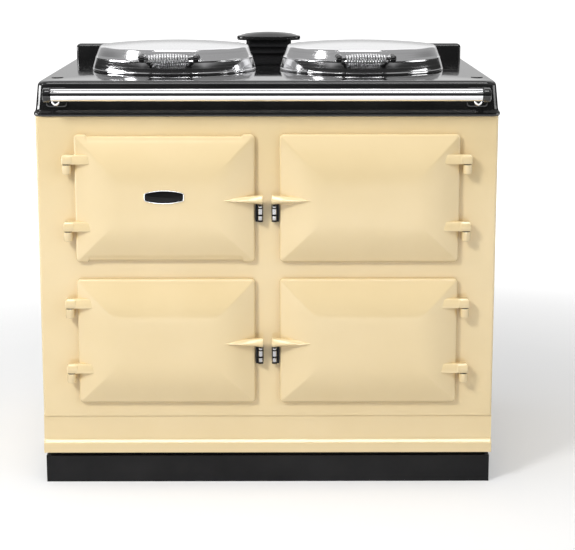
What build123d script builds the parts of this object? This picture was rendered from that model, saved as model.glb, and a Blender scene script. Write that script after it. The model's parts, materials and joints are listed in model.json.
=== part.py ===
from build123d import *
import math
import os

# A heat-storage range cooker with four hinged doors, two domed hotplate lids and a front rail.
# Millimetres, +Z up, front towards -Y, origin on the floor under the middle of the whole box.

# Body, from the floor up
BODY_WIDTH = 988.0
PLINTH_HEIGHT = 60.0
PLINTH_INSET = 3.0
PLINTH_WALL = 10.0
RECESS_HEIGHT = 10.0
RECESS_INSET = 12.0
SKIRT_HEIGHT = 83.0
SKIRT_BAND_HEIGHT = 24.0
SKIRT_BAND_PROUD = 8.0
FRONT_THICK = 14.0
FRONT_EDGE_RADIUS = 6.0
SIDE_SHEET = 4.0
SIDE_RETURN = 30.0
BACK_SHEET = 3.0
BACK_INSET = 15.0
BACK_SLOT_COUNT = 9
BACK_SLOT_LENGTH = 60.0
BACK_SLOT_HEIGHT = 8.0
BACK_SLOT_PITCH = 90.0
BACK_SLOT_DROP = 60.0
FOOT_RADIUS = 28.0
FOOT_PAD = 14.0
FOOT_STUD_RADIUS = 8.0
FOOT_INSET = 90.0

# Doors
OVEN_WIDTH = 350.0
OVEN_HEIGHT = 241.0
OVEN_LIP = 4.0
DOOR_LAP = 18.0
DOOR_WIDTH = OVEN_WIDTH + 2.0 * DOOR_LAP
DOOR_HEIGHT = OVEN_HEIGHT + 2.0 * DOOR_LAP
DOOR_GAP_X = 52.5
DOOR_GAP_Z = 37.0
TOP_MARGIN = 37.5
BOTTOM_MARGIN = 33.5
DOOR_STANDOFF = 2.0
DOOR_FLANGE = 12.0
DOOR_EDGE_RADIUS = 5.0
DOOR_CORNER = 9.0
DOOR_RISE = 24.0
FACET_RUN = 72.0
FIELD_CORNER = 16.0
DOOR_WALL = 6.0
DOOR_RIM = 9.0
DOOR_STEP = 6.0
OPENING_CORNER = 8.0
VENT_RECESS = 4.0
VENT_TAB = 27.0

# Door liner and rope seal
LINER_SHEET = 2.0
LINER_SEAT = 5.0
LINER_FIT = 0.3
PLUG_GAP = 6.0
PLUG_REACH = 10.0
SEAL_WIDTH = 9.0
SEAL_GAP = 0.3

# Door hinges
HINGE_OFFSET = 15.0
HINGE_DEPTH = 18.0
LUG_RADIUS = 10.0
LUG_HEIGHT = 20.0
LUG_INBOARD = 42.0
LUG_TOP_DROP = 52.0
LUG_BOTTOM_RISE = 80.0
PINTLE_RADIUS = 9.5
PINTLE_HEIGHT = 20.0
PINTLE_WEB = 11.0
PIN_RADIUS = 4.0
RUNNING_FIT = 0.05
WASHER_THICK = 2.0
WASHER_RADIUS = 8.5
WASHER_FIT = 0.3
DOOR_FLOAT = 0.2

# Door catches
ARM_INBOARD = 73.0
ARM_OUTBOARD = 17.0
ARM_END_HEIGHT = 20.0
ARM_TIP_HEIGHT = 5.0
ARM_BACK = 20.0
ARM_DROP = 0.0
ARM_ROUND = 3.0
ROLLER_RADIUS = 5.25
ROLLER_HEIGHT = 33.0
ROLLER_OFFSET = 11.2
ROLLER_DEPTH = 14.0
ROLLER_GROOVE = 0.6
ROLLER_GROOVE_HEIGHT = 3.0
ROLLER_PIN_RADIUS = 2.5
ROLLER_END_GAP = 0.3
CATCH_EAR = 2.5
CATCH_CLEAR = 1.2
CATCH_SIDE_GAP = 1.2
CATCH_INNER = 6.0
CATCH_BACK = 3.0
CATCH_GAP = 0.6

# Name plate, left bare
BADGE_WIDTH = 86.0
BADGE_HEIGHT = 30.0
BADGE_THICK = 2.0
BADGE_RIM = 2.4
BADGE_RIM_THICK = 3.0
BADGE_RISE = 8.0

# Ovens
OVEN_DEPTH = 456.0
OVEN_WALL = 8.0
LEDGE_WIDTH = 9.0
LEDGE_HEIGHT = 5.0
LEDGE_LEVELS = (50.0, 120.0, 190.0)
SHELF_LEVEL = 0
SHELF_GAP = 3.0
SHELF_FIT = 0.3
SHELF_FRAME_RADIUS = 3.5
SHELF_BAR_RADIUS = 2.2
SHELF_BARS = 11
SHELF_WELD = 1.0
SHELF_BACK_GAP = 20.0
SHELF_DEPTH = 400.0
ELEMENT_RADIUS = 4.0
ELEMENT_WIDTH = 220.0
ELEMENT_LENGTH = 360.0
ELEMENT_BEND = 70.0
ELEMENT_FRONT_GAP = 40.0
ELEMENT_GAP = 0.3
WOOL_GAP = 14.0
WOOL_SIDE_GAP = 2.0
WOOL_BACK_GAP = 70.0

# Controls behind the upper left door
CONTROL_DEPTH = 52.0
CONTROL_SHEET = 2.0
CONTROL_MARGIN = 4.0
KNOB_COUNT = 3
KNOB_PITCH = 92.0
KNOB_RADIUS = 21.0
KNOB_SKIRT_RADIUS = 24.0
KNOB_SKIRT = 4.0
KNOB_LENGTH = 22.0
KNOB_GAP = 1.0
KNOB_SHAFT_RADIUS = 4.0
KNOB_SHAFT_REACH = 12.0
KNOB_GRIP_WIDTH = 9.0
KNOB_GRIP_DEPTH = 8.0
MODULE_WIDTH = 270.0
MODULE_HEIGHT = 120.0
MODULE_DEPTH = 60.0
GLAND_SIDE = 164.0
GLAND_Z = 190.0
GLAND_RADIUS = 14.0
GLAND_BORE = 8.0
GLAND_FLANGE_RADIUS = 19.0
GLAND_FLANGE = 5.0
GLAND_OUT = 12.0
GLAND_IN = 20.0
GLAND_FIT = 0.2

# Top plate
PLATE_HEIGHT = 75.0
PLATE_DEPTH = 655.0
PLATE_FRONT_LIP = 4.0
PLATE_SIDE_LIP = 4.5
PLATE_LIP_HEIGHT = 7.0
PLATE_SHOULDER = 12.0
PLATE_CORNER = 16.0
PLATE_WALL = 8.0
DECK_THICK = 9.0
PLUG_CAP_RADIUS = 13.0
PLUG_CAP_HEIGHT = 2.0
PLUG_CAP_SIDE = 38.0
PLUG_CAP_BACK = 94.0

# Hotplates
HOTPLATE_X = 215.5
HOTPLATE_BACK = 319.0
HOTPLATE_RADIUS = 166.0
HOTPLATE_PROUD = 5.0
HOTPLATE_THICK = 40.0
HOTPLATE_FLANGE_RADIUS = 176.0
HOTPLATE_FLANGE = 2.5
HOTPLATE_FIT = 2.0
HEATER_RING_RADII = (50.0, 90.0, 130.0)
HEATER_RING_WIDTH = 14.0
HEATER_RING_HEIGHT = 12.0
HEATER_BAR_WIDTH = 16.0

# Lids
LID_RIM_RADIUS = 188.5
LID_RIM_HEIGHT = 4.0
LID_CREASE_RADIUS = 181.0
LID_CREASE_HEIGHT = 30.0
LID_SHOULDER_RADIUS = 170.0
LID_SHOULDER_HEIGHT = 56.0
LID_CROWN_HEIGHT = 65.0
LID_SHOULDER_ROUND = 9.0
LID_SHEET = 2.5
LID_GAP = 0.5
LID_LINER_HEIGHT = 12.0
LID_LINER_SHEET = 2.0
LID_LINER_FIT = 0.3
LID_HINGE_BACK = 18.0
LID_HINGE_HEIGHT = 22.0
LID_EAR_RADIUS = 9.0
LID_EAR_WIDTH = 36.0
LID_PIN_RADIUS = 4.0
LID_PIN_FIT = 0.02
LID_BRACKET_EAR = 9.0
LID_BRACKET_GAP = 0.3
LID_BRACKET_FOOT = 4.0
LID_BRACKET_FRONT = 13.0
LID_BRACKET_BACK = 18.0

# Lid handles
HANDLE_REACH = 33.0
HANDLE_HEIGHT = 39.0
HANDLE_SPAN = 106.0
HEAD_RADIUS = 8.2
HEAD_LENGTH = 13.0
POST_RADIUS = 5.5
HANDLE_ROD_RADIUS = 2.5
WIRE_RADIUS = 2.1
COIL_TURNS = 15
COIL_MID_RADIUS = 9.2
COIL_END_RADIUS = 5.7
COIL_TAIL = 2.0 * WIRE_RADIUS
COIL_TURN_IN = 5.0
COIL_TURN_IN_ANGLE = 50.0
LEAST_COIL_GAP = 0.4

# Rear upstand and vent
UPSTAND_MARGIN = 5.0
UPSTAND_DEPTH = 45.0
UPSTAND_HEIGHT = 39.0
UPSTAND_WIDTH = 956.0
UPSTAND_ROUND = 8.0
VENT_WIDTH = 158.0
VENT_DEPTH = 54.0
VENT_HEIGHT = 68.0
VENT_CAP_THICK = 20.0
VENT_CAP_ROUND = 13.0
VENT_NECK_WIDTH = 112.0
VENT_NECK_DEPTH = 26.0
VENT_FIN_WIDTH = 134.0
VENT_FIN_DEPTH = 46.0
VENT_FIN_THICK = 5.0
VENT_FINS = 3
VENT_CLEARANCE = 6.0

# Front rail
RAIL_RADIUS = 13.0
RAIL_REACH = 45.0
RAIL_DROP = 25.0
RAIL_LENGTH = 907.0
RAIL_CHAMFER = 2.5
BRACKET_WIDTH = 15.0
BRACKET_RADIUS = 15.0
BRACKET_LEG = 20.0
BRACKET_FOOT_THICK = 5.0
BRACKET_FOOT_REACH = 44.0
BRACKET_FOOT_DROP = 30.0
BRACKET_FOOT_TOP = 12.0
BOLT_RADIUS = 9.0
BOLT_HEIGHT = 11.0
BOLT_ROUND = 5.0
BOLT_INSET = 6.0
BOLT_DROP = 18.0

# Places worked out from the sizes
body_half = BODY_WIDTH / 2
rail_front = RAIL_REACH + max(RAIL_RADIUS, BRACKET_RADIUS)
plate_front = (rail_front - PLATE_DEPTH) / 2
plate_back = plate_front + PLATE_DEPTH
front_y = plate_front + PLATE_FRONT_LIP
front_back = front_y + FRONT_THICK
body_back = plate_back - BACK_INSET
z_skirt = PLINTH_HEIGHT + RECESS_HEIGHT
z_front = z_skirt + SKIRT_HEIGHT
z_low_door = z_front + BOTTOM_MARGIN + DOOR_HEIGHT / 2
z_high_door = z_low_door + DOOR_HEIGHT + DOOR_GAP_Z
z_plate = z_high_door + DOOR_HEIGHT / 2 + TOP_MARGIN
z_deck = z_plate + PLATE_HEIGHT
door_x = DOOR_GAP_X / 2 + DOOR_WIDTH / 2
door_inner_x = DOOR_GAP_X / 2
hinge_x = DOOR_GAP_X / 2 + DOOR_WIDTH + HINGE_OFFSET
hinge_y = front_y - HINGE_DEPTH
flange_depth = DOOR_STANDOFF + DOOR_FLANGE
field_depth = flange_depth + DOOR_RISE
opening_width = OVEN_WIDTH - 2 * OVEN_LIP
opening_height = OVEN_HEIGHT - 2 * OVEN_LIP
liner_depth = DOOR_STANDOFF + LINER_SEAT
seal_depth = liner_depth - LINER_SHEET
roller_x = door_inner_x - ROLLER_OFFSET
hotplate_y = plate_front + HOTPLATE_BACK
lid_hinge_y = hotplate_y + LID_RIM_RADIUS + LID_HINGE_BACK
lid_hinge_z = z_deck + LID_HINGE_HEIGHT
lid_wall_slope = (LID_CREASE_RADIUS - LID_SHOULDER_RADIUS) / (LID_SHOULDER_HEIGHT - LID_CREASE_HEIGHT)
handle_wall = LID_CREASE_RADIUS - lid_wall_slope * (HANDLE_HEIGHT - LID_CREASE_HEIGHT)
handle_y = hotplate_y - handle_wall - HANDLE_REACH
handle_z = z_deck + HANDLE_HEIGHT
upstand_front = plate_back - UPSTAND_MARGIN - UPSTAND_DEPTH
vent_y = upstand_front + UPSTAND_DEPTH / 2
rail_y = plate_front - RAIL_REACH
rail_z = z_deck - RAIL_DROP
panel_back = front_back + CONTROL_DEPTH
gland_x = body_half - GLAND_SIDE


def block(x_low, x_high, y_low, y_high, z_low, z_high):
    """A box between two corners."""
    middle = ((x_low + x_high) / 2, (y_low + y_high) / 2, (z_low + z_high) / 2)
    return Pos(*middle) * Box(x_high - x_low, y_high - y_low, z_high - z_low)


def rod(start, direction, radius, length):
    """A round bar from a point along a direction."""
    return extrude(Plane(origin=start, z_dir=direction) * Circle(radius), length)


def facing(x, depth, z):
    """A sketch plane parallel to the front, a depth ahead of the front plate, looking out."""
    return Plane(origin=(x, front_y - depth, z), x_dir=(1, 0, 0), z_dir=(0, -1, 0))


def mirrored(shape):
    """The same piece on the other side of the middle."""
    return mirror(shape, about=Plane.YZ)


def group(*shapes):
    """Separate solids that share one node."""
    return Compound([solid for shape in shapes for solid in shape.solids()])


# Casing

def plinth():
    outer_x = body_half - PLINTH_INSET
    outer = block(-outer_x, outer_x, front_y + PLINTH_INSET, body_back - PLINTH_INSET, 0, PLINTH_HEIGHT)
    inner_x = outer_x - PLINTH_WALL
    inner_front = front_y + PLINTH_INSET + PLINTH_WALL
    inner_back = body_back - PLINTH_INSET - PLINTH_WALL
    frame = outer - block(-inner_x, inner_x, inner_front, inner_back, -1, PLINTH_HEIGHT + 1)
    return frame


def levelling_feet():
    feet = []
    for x in (-body_half + FOOT_INSET, body_half - FOOT_INSET):
        for y in (front_y + FOOT_INSET, body_back - FOOT_INSET):
            pad = rod((x, y, 0), (0, 0, 1), FOOT_RADIUS, FOOT_PAD)
            feet.append(pad + rod((x, y, 0), (0, 0, 1), FOOT_STUD_RADIUS, PLINTH_HEIGHT))
    return group(*feet)


def base_tray():
    half = body_half - RECESS_INSET
    return block(-half, half, front_y + RECESS_INSET, body_back, PLINTH_HEIGHT, z_skirt)


def side_panel():
    """The left one, with a return flange at the back."""
    sheet = block(-body_half, -body_half + SIDE_SHEET, front_back, body_back, z_skirt, z_plate)
    back = body_back - BACK_SHEET
    flange = block(-body_half, -body_half + SIDE_RETURN, back - SIDE_SHEET, back, z_skirt, z_plate)
    return sheet + flange


def back_panel():
    half = body_half - SIDE_SHEET
    panel = block(-half, half, body_back - BACK_SHEET, body_back, z_skirt, z_plate)
    slot_z = z_plate - BACK_SLOT_DROP
    for index in range(BACK_SLOT_COUNT):
        x = (index - (BACK_SLOT_COUNT - 1) / 2) * BACK_SLOT_PITCH
        plane = Plane(origin=(x, body_back, slot_z), x_dir=(1, 0, 0), z_dir=(0, -1, 0))
        panel -= extrude(plane * SlotOverall(BACK_SLOT_LENGTH, BACK_SLOT_HEIGHT), 2 * BACK_SHEET, both=True)
    panel -= rod((gland_x, body_back, GLAND_Z), (0, -1, 0), GLAND_RADIUS + GLAND_FIT, 2 * BACK_SHEET)
    return panel


def cable_gland():
    """Where the supply cable comes in, low on the back."""
    start = (gland_x, body_back + GLAND_OUT, GLAND_Z)
    length = GLAND_OUT + BACK_SHEET + GLAND_IN
    gland = rod(start, (0, -1, 0), GLAND_RADIUS, length)
    flange = (gland_x, body_back + GLAND_FLANGE, GLAND_Z)
    gland += rod(flange, (0, -1, 0), GLAND_FLANGE_RADIUS, GLAND_FLANGE)
    nut_y = body_back - BACK_SHEET
    nut = Plane(origin=(gland_x, nut_y, GLAND_Z), z_dir=(0, -1, 0)) * RegularPolygon(GLAND_FLANGE_RADIUS, 6)
    gland += extrude(nut, GLAND_FLANGE)
    return gland - rod(start, (0, -1, 0), GLAND_BORE, length)


def front_plate():
    plate = block(-body_half, body_half, front_y, front_back, z_front, z_plate)
    long_edges = plate.edges().filter_by(Axis.Z).group_by(Axis.Y)[0]
    plate = fillet(long_edges, FRONT_EDGE_RADIUS)
    for x in (-door_x, door_x):
        for z in (z_low_door, z_high_door):
            hole = facing(x, 0, z) * RectangleRounded(opening_width, opening_height, OPENING_CORNER)
            plate -= extrude(hole, 2 * FRONT_THICK, both=True)
    return plate


def skirt_panel():
    """Flat above, with a proud band below that has a rounded top."""
    face_y = front_y - SKIRT_BAND_PROUD
    band_top = z_skirt + SKIRT_BAND_HEIGHT
    lines = [
        Line((front_back, z_skirt), (face_y, z_skirt)),
        Line((face_y, z_skirt), (face_y, band_top)),
        RadiusArc((face_y, band_top), (front_y, band_top + SKIRT_BAND_PROUD), SKIRT_BAND_PROUD),
        Line((front_y, band_top + SKIRT_BAND_PROUD), (front_y, z_front)),
        Line((front_y, z_front), (front_back, z_front)),
        Line((front_back, z_front), (front_back, z_skirt)),
    ]
    profile = Plane.YZ * make_face(lines)
    return extrude(profile, body_half, both=True)


# Top plate and what stands on it

def top_plate():
    plate = block(-body_half, body_half, plate_front + PLATE_FRONT_LIP, plate_back, z_plate, z_deck)
    corners = plate.edges().filter_by(Axis.Z).group_by(Axis.Y)[0]
    plate = fillet(corners, PLATE_CORNER)
    plate = fillet(plate.faces().sort_by(Axis.Z)[-1].edges(), PLATE_SHOULDER)
    lip_half = body_half + PLATE_SIDE_LIP
    lip = block(-lip_half, lip_half, plate_front, plate_back, z_plate, z_plate + PLATE_LIP_HEIGHT)
    lip_corner = lip.edges().filter_by(Axis.Z).group_by(Axis.Y)[0]
    plate += fillet(lip_corner, PLATE_CORNER + PLATE_SIDE_LIP)
    inner_half = body_half - PLATE_WALL
    inner_front = plate_front + PLATE_FRONT_LIP + PLATE_WALL
    inner_back = plate_back - PLATE_WALL
    plate -= block(-inner_half, inner_half, inner_front, inner_back, z_plate - 1, z_deck - DECK_THICK)
    for x in (-HOTPLATE_X, HOTPLATE_X):
        hole_radius = HOTPLATE_RADIUS + HOTPLATE_FIT
        plate -= rod((x, hotplate_y, z_deck + 1), (0, 0, -1), hole_radius, 2 * DECK_THICK)
    return plate


def plate_plugs():
    plugs = []
    for side in (-1, 1):
        x = side * (body_half - PLUG_CAP_SIDE)
        cap = rod((x, plate_front + PLUG_CAP_BACK, z_deck), (0, 0, 1), PLUG_CAP_RADIUS, PLUG_CAP_HEIGHT)
        plugs.append(chamfer(cap.faces().sort_by(Axis.Z)[-1].edges(), PLUG_CAP_HEIGHT / 2))
    return group(*plugs)


def hotplate(x):
    top = z_deck + HOTPLATE_PROUD
    disc = rod((x, hotplate_y, top), (0, 0, -1), HOTPLATE_RADIUS, HOTPLATE_THICK)
    disc = chamfer(disc.edges().sort_by(Axis.Z)[-1], HOTPLATE_PROUD / 4)
    return disc + rod((x, hotplate_y, z_deck), (0, 0, 1), HOTPLATE_FLANGE_RADIUS, HOTPLATE_FLANGE)


def hotplate_elements():
    """Heater castings under the hotplates: rings joined by a bar."""
    top = z_deck + HOTPLATE_PROUD - HOTPLATE_THICK
    heaters = []
    for x in (-HOTPLATE_X, HOTPLATE_X):
        reach = HEATER_RING_RADII[-1]
        bar_half = HEATER_BAR_WIDTH / 2
        low = top - HEATER_RING_HEIGHT
        heater = block(x - reach, x + reach, hotplate_y - bar_half, hotplate_y + bar_half, low, top)
        for radius in HEATER_RING_RADII:
            ring = rod((x, hotplate_y, top), (0, 0, -1), radius + HEATER_RING_WIDTH / 2, HEATER_RING_HEIGHT)
            ring -= rod((x, hotplate_y, top), (0, 0, -1), radius - HEATER_RING_WIDTH / 2, HEATER_RING_HEIGHT)
            heater += ring
        heaters.append(heater)
    return group(*heaters)


def rear_upstand():
    inner = VENT_WIDTH / 2 + VENT_CLEARANCE
    front = upstand_front
    top = z_deck + UPSTAND_HEIGHT
    left = block(-UPSTAND_WIDTH / 2, -inner, front, front + UPSTAND_DEPTH, z_deck, top)
    left = fillet(left.faces().sort_by(Axis.Z)[-1].edges(), UPSTAND_ROUND)
    return group(left, mirrored(left))


def vent_neck():
    """A core with flat fins round it, under the cap."""
    neck_height = VENT_HEIGHT - VENT_CAP_THICK
    base = Plane(origin=(0, vent_y, z_deck))
    neck = extrude(base * SlotOverall(VENT_NECK_WIDTH, VENT_NECK_DEPTH), neck_height)
    for index in range(VENT_FINS):
        level = z_deck + index * neck_height / VENT_FINS
        fin = Plane(origin=(0, vent_y, level)) * SlotOverall(VENT_FIN_WIDTH, VENT_FIN_DEPTH)
        neck += extrude(fin, VENT_FIN_THICK)
    return neck


def vent_cap():
    base = Plane(origin=(0, vent_y, z_deck + VENT_HEIGHT - VENT_CAP_THICK))
    cap = extrude(base * SlotOverall(VENT_WIDTH, VENT_DEPTH), VENT_CAP_THICK)
    return fillet(cap.faces().sort_by(Axis.Z)[-1].edges(), VENT_CAP_ROUND)


# Front rail

def handrail_tube():
    tube = rod((-RAIL_LENGTH / 2, rail_y, rail_z), (1, 0, 0), RAIL_RADIUS, RAIL_LENGTH)
    return chamfer(tube.edges().filter_by(GeomType.CIRCLE), RAIL_CHAMFER)


def handrail_bracket():
    """The left one: a round end block, a leg back to the fascia and a foot on it."""
    outer = -RAIL_LENGTH / 2 - BRACKET_WIDTH
    face = plate_front + PLATE_FRONT_LIP
    end = rod((outer, rail_y, rail_z), (1, 0, 0), BRACKET_RADIUS, BRACKET_WIDTH)
    leg_half = BRACKET_LEG / 2
    leg = block(outer, -RAIL_LENGTH / 2, rail_y, face, rail_z - leg_half, rail_z + leg_half)
    foot_low = rail_z - BRACKET_FOOT_DROP
    foot_top = rail_z + BRACKET_FOOT_TOP
    foot = block(outer, outer + BRACKET_FOOT_REACH, face - BRACKET_FOOT_THICK, face, foot_low, foot_top)
    return end + leg + foot


def handrail_bolt():
    """The domed head that holds the left bracket's foot."""
    x = -RAIL_LENGTH / 2 + BOLT_INSET
    seat = plate_front + PLATE_FRONT_LIP - BRACKET_FOOT_THICK
    head = rod((x, seat, rail_z - BOLT_DROP), (0, -1, 0), BOLT_RADIUS, BOLT_HEIGHT)
    return fillet(head.edges().sort_by(Axis.Y)[0], BOLT_ROUND)


# Doors, all drawn on the left and mirrored for the right

def pillow(inset, base_depth, top_depth, x, z):
    """The faceted front of a door, from its flange to its raised field."""
    base = RectangleRounded(DOOR_WIDTH - 2 * inset, DOOR_HEIGHT - 2 * inset, DOOR_CORNER)
    field = RectangleRounded(DOOR_WIDTH - 2 * FACET_RUN, DOOR_HEIGHT - 2 * FACET_RUN, FIELD_CORNER)
    return loft([facing(x, base_depth, z) * base, facing(x, top_depth, z) * field], ruled=True)


def lug_levels(z):
    """Heights of the middles of a door's two hinge lugs."""
    return (z + DOOR_HEIGHT / 2 - LUG_TOP_DROP, z - DOOR_HEIGHT / 2 + LUG_BOTTOM_RISE)


def door_casting(z):
    x = -door_x
    flange = facing(x, DOOR_STANDOFF, z) * RectangleRounded(DOOR_WIDTH, DOOR_HEIGHT, DOOR_CORNER)
    door = extrude(flange, DOOR_FLANGE)
    door = fillet(door.faces().sort_by(Axis.Y)[0].edges(), DOOR_EDGE_RADIUS)
    door += pillow(DOOR_EDGE_RADIUS, flange_depth, field_depth, x, z)
    for level in lug_levels(z):
        door += hinge_lug(level)
    door += catch_arm(z)
    seat = facing(x, 0, z) * RectangleRounded(
        DOOR_WIDTH - 2 * DOOR_RIM, DOOR_HEIGHT - 2 * DOOR_RIM, DOOR_CORNER / 2)
    door -= extrude(seat, liner_depth)
    hollow_inset = DOOR_RIM + DOOR_STEP
    hollow_depth = flange_depth - DOOR_WALL + DOOR_EDGE_RADIUS / 2
    hollow = facing(x, 0, z) * RectangleRounded(
        DOOR_WIDTH - 2 * hollow_inset, DOOR_HEIGHT - 2 * hollow_inset, DOOR_CORNER / 2)
    door -= extrude(hollow, hollow_depth)
    door -= pillow(hollow_inset, hollow_depth, field_depth - DOOR_WALL, x, z)
    for level in lug_levels(z):
        start = (-hinge_x, hinge_y, level - LUG_HEIGHT)
        door -= rod(start, (0, 0, 1), PIN_RADIUS + RUNNING_FIT, 2 * LUG_HEIGHT)
    return door


def hinge_lug(level):
    low = level - LUG_HEIGHT / 2
    lug = rod((-hinge_x, hinge_y, low), (0, 0, 1), LUG_RADIUS, LUG_HEIGHT)
    inner_end = -hinge_x + HINGE_OFFSET + LUG_INBOARD
    lug += block(-hinge_x, inner_end, hinge_y - LUG_RADIUS, hinge_y + LUG_RADIUS, low, low + LUG_HEIGHT)
    return lug


def catch_arm(z):
    """A finger that starts at the raised field and widens to a square end past the door's edge."""
    middle = z - ARM_DROP
    tip_x = -door_inner_x - ARM_INBOARD
    end_x = -door_inner_x + ARM_OUTBOARD
    outline = Polyline(
        (tip_x, -ARM_TIP_HEIGHT / 2),
        (end_x, -ARM_END_HEIGHT / 2),
        (end_x, ARM_END_HEIGHT / 2),
        (tip_x, ARM_TIP_HEIGHT / 2),
        close=True,
    )
    arm = extrude(facing(0, ARM_BACK, middle) * make_face(outline), field_depth - ARM_BACK)
    return fillet(arm.faces().sort_by(Axis.Y)[0].edges(), ARM_ROUND / 2)


def control_door():
    """The upper left door, with vent gaps along its top and bottom edges."""
    door = door_casting(z_high_door)
    half = DOOR_WIDTH / 2 - VENT_TAB
    for side in (-1, 1):
        edge = z_high_door + side * DOOR_HEIGHT / 2
        band = sorted((edge - side * VENT_RECESS, edge + side))
        door -= block(-door_x - half, -door_x + half, front_y - field_depth, front_y, *band)
    return door


def door_liner(z):
    """A pan behind the casting whose plug enters the front plate's opening."""
    x = -door_x
    fit = DOOR_RIM + LINER_FIT
    sheet = facing(x, seal_depth, z) * RectangleRounded(
        DOOR_WIDTH - 2 * fit, DOOR_HEIGHT - 2 * fit, DOOR_CORNER / 2)
    liner = extrude(sheet, LINER_SHEET)
    plug_width = opening_width - 2 * PLUG_GAP
    plug_height = opening_height - 2 * PLUG_GAP
    plug = facing(x, -PLUG_REACH, z) * RectangleRounded(plug_width, plug_height, OPENING_CORNER)
    liner += extrude(plug, PLUG_REACH + liner_depth)
    hollow = facing(x, -PLUG_REACH + LINER_SHEET, z) * RectangleRounded(
        plug_width - 2 * LINER_SHEET, plug_height - 2 * LINER_SHEET, OPENING_CORNER - LINER_SHEET)
    return liner - extrude(hollow, PLUG_REACH + liner_depth)


def door_seal(z):
    """A flat rope seal round the liner's plug."""
    x = -door_x
    inner_width = opening_width - 2 * LINER_FIT
    inner_height = opening_height - 2 * LINER_FIT
    outer = RectangleRounded(
        inner_width + 2 * SEAL_WIDTH, inner_height + 2 * SEAL_WIDTH, OPENING_CORNER + SEAL_WIDTH)
    ring = outer - RectangleRounded(inner_width, inner_height, OPENING_CORNER)
    return extrude(facing(x, SEAL_GAP, z) * ring, seal_depth - SEAL_GAP)


def badge_outline(margin):
    """A lozenge with bowed long sides, drawn in from its edge by a margin."""
    half_width = BADGE_WIDTH / 2 - margin
    half_height = BADGE_HEIGHT / 2 - margin
    end_half = half_height / 2
    lines = [
        ThreePointArc((-half_width, end_half), (0, half_height), (half_width, end_half)),
        Line((half_width, end_half), (half_width, -end_half)),
        ThreePointArc((half_width, -end_half), (0, -half_height), (-half_width, -end_half)),
        Line((-half_width, -end_half), (-half_width, end_half)),
    ]
    return make_face(lines)


def badge_plate():
    plane = facing(-door_x, field_depth, z_high_door + BADGE_RISE)
    return extrude(plane * badge_outline(BADGE_RIM), BADGE_THICK)


def badge_rim():
    plane = facing(-door_x, field_depth, z_high_door + BADGE_RISE)
    return extrude(plane * (badge_outline(0) - badge_outline(BADGE_RIM)), BADGE_RIM_THICK)


# Hinges and catches on the front plate

def hinge_pintles():
    pintles = []
    for z in (z_low_door, z_high_door):
        for level in lug_levels(z):
            top = level - LUG_HEIGHT / 2 - DOOR_FLOAT - WASHER_THICK
            low = top - PINTLE_HEIGHT
            pintle = rod((-hinge_x, hinge_y, low), (0, 0, 1), PINTLE_RADIUS, PINTLE_HEIGHT)
            web_half = PINTLE_WEB / 2
            pintle += block(-hinge_x - web_half, -hinge_x + web_half, hinge_y, front_y, low, top)
            pintle += rod((-hinge_x, hinge_y, low), (0, 0, 1), PIN_RADIUS, level + LUG_HEIGHT / 2 - low)
            pintles += [pintle, mirrored(pintle)]
    return group(*pintles)


def hinge_washers():
    washers = []
    for z in (z_low_door, z_high_door):
        for level in lug_levels(z):
            low = level - LUG_HEIGHT / 2 - DOOR_FLOAT - WASHER_THICK
            washer = rod((-hinge_x, hinge_y, low), (0, 0, 1), WASHER_RADIUS, WASHER_THICK)
            washer -= rod((-hinge_x, hinge_y, low), (0, 0, 1), PIN_RADIUS + WASHER_FIT, WASHER_THICK)
            washers += [washer, mirrored(washer)]
    return group(*washers)


def roller_top(z):
    """Height of the top of a door's catch roller."""
    return z - ARM_DROP - ARM_END_HEIGHT / 2 - CATCH_GAP - CATCH_EAR - ROLLER_END_GAP


def catch_bracket(z):
    """The left one: a back plate with a cheek by the door's edge, two ears and the roller's pin."""
    top = roller_top(z) + ROLLER_END_GAP
    low = top - ROLLER_HEIGHT - 2 * ROLLER_END_GAP
    left = -door_inner_x + CATCH_CLEAR
    cheek = -roller_x - ROLLER_RADIUS - CATCH_SIDE_GAP
    right = -roller_x + CATCH_INNER
    bracket = block(left, right, front_y - CATCH_BACK, front_y, low - CATCH_EAR, top + CATCH_EAR)
    axis_y = front_y - ROLLER_DEPTH
    bracket += block(left, cheek, axis_y, front_y, low - CATCH_EAR, top + CATCH_EAR)
    for ear_low in (low - CATCH_EAR, top):
        bracket += block(left, right, axis_y, front_y, ear_low, ear_low + CATCH_EAR)
        bracket += rod((-roller_x, axis_y, ear_low), (0, 0, 1), CATCH_INNER, CATCH_EAR)
    return bracket + rod((-roller_x, axis_y, low), (0, 0, 1), ROLLER_PIN_RADIUS, top - low)


def catch_roller(z):
    """The left one, with two grooves round it."""
    axis_y = front_y - ROLLER_DEPTH
    low = roller_top(z) - ROLLER_HEIGHT
    roller = rod((-roller_x, axis_y, low), (0, 0, 1), ROLLER_RADIUS, ROLLER_HEIGHT)
    for share in (1, 2):
        groove_z = low + share * ROLLER_HEIGHT / 3 - ROLLER_GROOVE_HEIGHT / 2
        groove = rod((-roller_x, axis_y, groove_z), (0, 0, 1), 2 * ROLLER_RADIUS, ROLLER_GROOVE_HEIGHT)
        core_radius = ROLLER_RADIUS - ROLLER_GROOVE
        groove -= rod((-roller_x, axis_y, groove_z), (0, 0, 1), core_radius, ROLLER_GROOVE_HEIGHT)
        roller -= groove
    return roller - rod((-roller_x, axis_y, low), (0, 0, 1), ROLLER_PIN_RADIUS + RUNNING_FIT, ROLLER_HEIGHT)


# Ovens, all drawn on the left and mirrored for the right

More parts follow.
